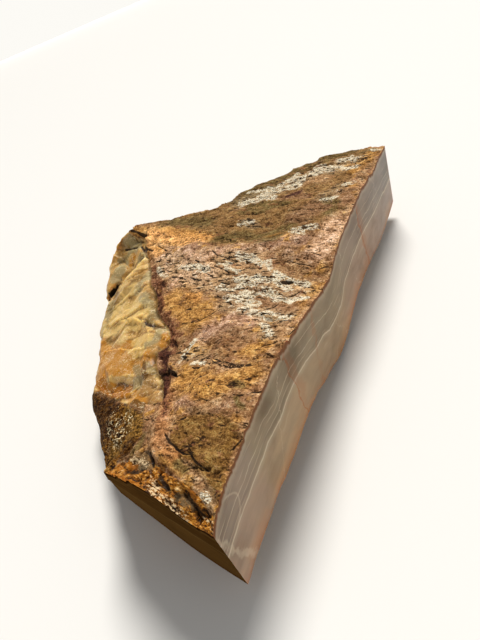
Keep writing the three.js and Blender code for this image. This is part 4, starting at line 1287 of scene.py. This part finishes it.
class Cut:
    """One saw cut's material while it is being laid up: each step paints over the face so far."""

    def __init__(self, name, upper, middle, lower, depth, gloss):
        self.material = begin(name, Roughness=0.6, Subsurface_Weight=depth, Subsurface_Scale=0.010,
                              Specular_IOR_Level=gloss)
        place = stretched(1.0, 1.0, 1.0)
        self.wobble = spots(place, 30, 3, 0.5)
        self.slow = spots(stretched(1.0, 1.0, 1.6), 60, 2, 0.5)
        self.wander = spots(place, 16, 3, 0.6)
        axes = add_node("ShaderNodeSeparateXYZ", {"Vector": place}).outputs
        self.x = scaled(axes["X"], 1000.0, cad_high.x * 1000)      # mm from the near corner
        self.z = times(axes["Z"], 1000.0)
        self.bed = around(self.wobble, 9.0, named("bed"))
        cloud = spots(stretched(0.45, 0.45, 1.0), 30, 4, 0.55, 0.6)
        shade = around(cloud, 0.70, around(layered(self.bed, 4, 3, 0.6), 0.12, 0.5))
        shade = around(layered(self.bed, 22, 2, 0.5), 0.26, shade)
        self.face = blend(ramp_up(self.bed, -10, 8), middle, upper)
        self.face = blend(ramp_up(self.bed, -30, -70), self.face, lower)
        self.tint(tones(shade, (0.36, (0.78, 0.76, 0.74, 1)), (0.50, (1, 1, 1, 1)),
                        (0.64, (1.18, 1.17, 1.15, 1))), 1.0)

    def tint(self, colour, weight):
        self.face = blend(weight, self.face, tinted(self.face, colour))

    def line(self, value, at, width, strength, colour, ends):
        """A line where a value is at a number; ends says where the slow noise breaks it off."""
        weight = times(ramp_up(apart(value, at), width, width * 0.15), strength)
        self.face = blend(times(weight, ramp_up(self.slow, *ends)), self.face, colour)

    def bed_lines(self, pale):
        for at, width, strength, ends in BED_LINES:
            self.line(self.bed, at, width, strength, pale, ends)

    def edges(self, pale, rust, rim_line):
        """A pale and a rusty fringe, the dark line under the rim, and the finished material."""
        rim = around(self.wander, 6.0, named("under rim"))
        foot = around(self.wander, 8.0, named("over foot"))
        for value, start, end, strength, colour in (
                (rim, 12, 4, 0.30, pale), (foot, 9, 0, 0.24, rust), (rim, 6.5, 2.5, 0.95, rim_line)):
            self.face = blend(times(ramp_up(value, start, end), strength), self.face, colour)
        connect("Base Color", self.face)
        print(self.material.name, "has", len(tree.nodes), "nodes")
        return self.material

print("each cut gets", len(BED_LINES), "pale lines along its beds")

# %% [markdown]
# The short cut is brown all through, darkest on top, and its colours are darkened
# further as painted shade. It gets only the beds and edges.

# %% Short cut
brown = paint(112, 86, 48)
# painted shade: the short cut's tones are a darkened copy of the sawn onyx
cut = Cut("shaded sawn onyx of the short cut", paint(76, 51, 22), paint(88, 62, 30), paint(90, 64, 32), 0.0, 0.0)
cut.bed_lines(brown)
short_cut = cut.edges(brown, paint(84, 48, 18), paint(40, 18, 4))

# %% [markdown]
# The long cut is pale, greyer above and pinker below, with a cold grey far end. It is a
# little olive in its near half and warm along its foot. Rusty veins cross the beds where
# water found a way down, and fine pale lines are old cracks that healed. By the near
# corner a pale smear runs down beside the edge.

# %% Long cut
pale, rust = paint(218, 200, 172), paint(166, 98, 52)
VEIN_WANDER, MID_HEIGHT = 26.0, 70                   # mm
VEINS = (                                            # x at mid height, lean, width, strength
    (175, -0.10, 2.2, 0.60, rust), (183, -0.10, 10.0, 0.25, rust), (455, -0.10, 3.4, 0.55, rust),
    (462, -0.12, 12.0, 0.22, rust), (238, 0.25, 6.0, 0.25, rust), (120, 0.55, 1.0, 0.35, pale),
    (330, 0.9, 1.0, 0.30, pale), (385, -0.6, 0.9, 0.28, pale), (520, 0.7, 1.1, 0.30, pale),
    (560, -0.5, 1.0, 0.25, pale), (290, -0.7, 0.8, 0.25, pale), (9, -0.36, 4.5, 0.35, pale))

cut = Cut("sawn onyx of the long cut", paint(146, 128, 111), paint(165, 140, 119),
          paint(163, 133, 111), 0.25, 0.12)
cut.tint((1.00, 1.17, 1.40, 1), ramp_up(cut.x, 420, 640))
olive = times(ramp_up(around(cut.wobble, 90.0, cut.x), 40, 110),
              ramp_up(around(cut.slow, 120.0, cut.x), 400, 300))
cut.tint((0.97, 0.98, 0.84, 1), olive)
warm = times(ramp_up(around(cut.wander, 20.0, named("over foot")), 26, 2), ramp_up(cut.slow, 0.40, 0.55))
cut.tint((1.12, 0.94, 0.80, 1), warm)
cut.bed_lines(pale)
for start, lean, width, strength, colour in VEINS:
    across = scaled(cut.z, -lean, scaled(cut.wander, VEIN_WANDER, cut.x))
    cut.line(across, start + VEIN_WANDER / 2 - MID_HEIGHT * lean, width, strength, colour,
             (0.36, 0.52) if colour is pale else (0.30, 0.50))
print("the long cut's veins:", len(VEINS))

# %% [markdown]
# Two smoky clouds lie in the long cut's upper beds. Between them and the near corner a
# healed crack is a half ring: a circle whose left half is cut off.

# %% Clouds and half ring
RING_X, RING_Z, RING_SIZE = 22.0, 100.0, 17.0        # mm

for at, reach, lowest in ((180, 32, 82), (114, 30, 96)):
    near = ramp_up(apart(around(cut.wobble, 40.0, cut.x), at), reach, 4)
    high = ramp_up(around(cut.wander, 30.0, cut.z), lowest, lowest + 26)
    cut.tint((0.66, 0.61, 0.56, 1), times(near, high))
ring_x = maths("SUBTRACT", around(cut.wander, 5.0, cut.x), RING_X)
ring_z = maths("SUBTRACT", cut.z, RING_Z)
ring = maths("SQRT", maths("ADD", times(ring_z, ring_z), times(ring_x, ring_x)))
ring = times(ramp_up(apart(ring, RING_SIZE), 1.5, 0.3), ramp_up(ring_x, 0, 8))
cut.face = blend(times(ring, 0.28), cut.face, pale)
long_cut = cut.edges(pale, rust, paint(112, 64, 24))

# %% [markdown]
# Each face of the stone gets one of the three materials by its place: the faces of a
# saw cut lie in that cut's plane, and all the others are broken stone. The cuts are
# shaded flat, as a saw leaves them, and the rest is smoothed except over sharp edges.

# %% Put the materials on
SHARP_ANGLE = 32                                     # degrees, a sharper edge stays sharp

for material in (broken, long_cut, short_cut):
    stone.data.materials.append(material)
bpy.ops.object.shade_smooth_by_angle(angle=math.radians(SHARP_ANGLE))
on_long, on_short = sawn_faces(face_table(stone.data)[0])
stone.data.polygons.foreach_set("material_index", on_long * 1 + on_short * 2)
for polygon, flat in zip(stone.data.polygons, (on_long | on_short).tolist()):
    if flat:
        polygon.use_smooth = False
print(int(on_long.sum()), "faces on the long cut and", int(on_short.sum()), "on the short one, of",
      len(stone.data.polygons))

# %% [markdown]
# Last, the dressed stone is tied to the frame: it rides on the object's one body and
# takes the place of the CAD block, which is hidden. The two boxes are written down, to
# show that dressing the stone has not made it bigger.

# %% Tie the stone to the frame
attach(stone, "root")
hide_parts("onyx_block")

low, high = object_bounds()
print("the dressed stone's box:", tuple(round(v, 4) for v in low), tuple(round(v, 4) for v in high))
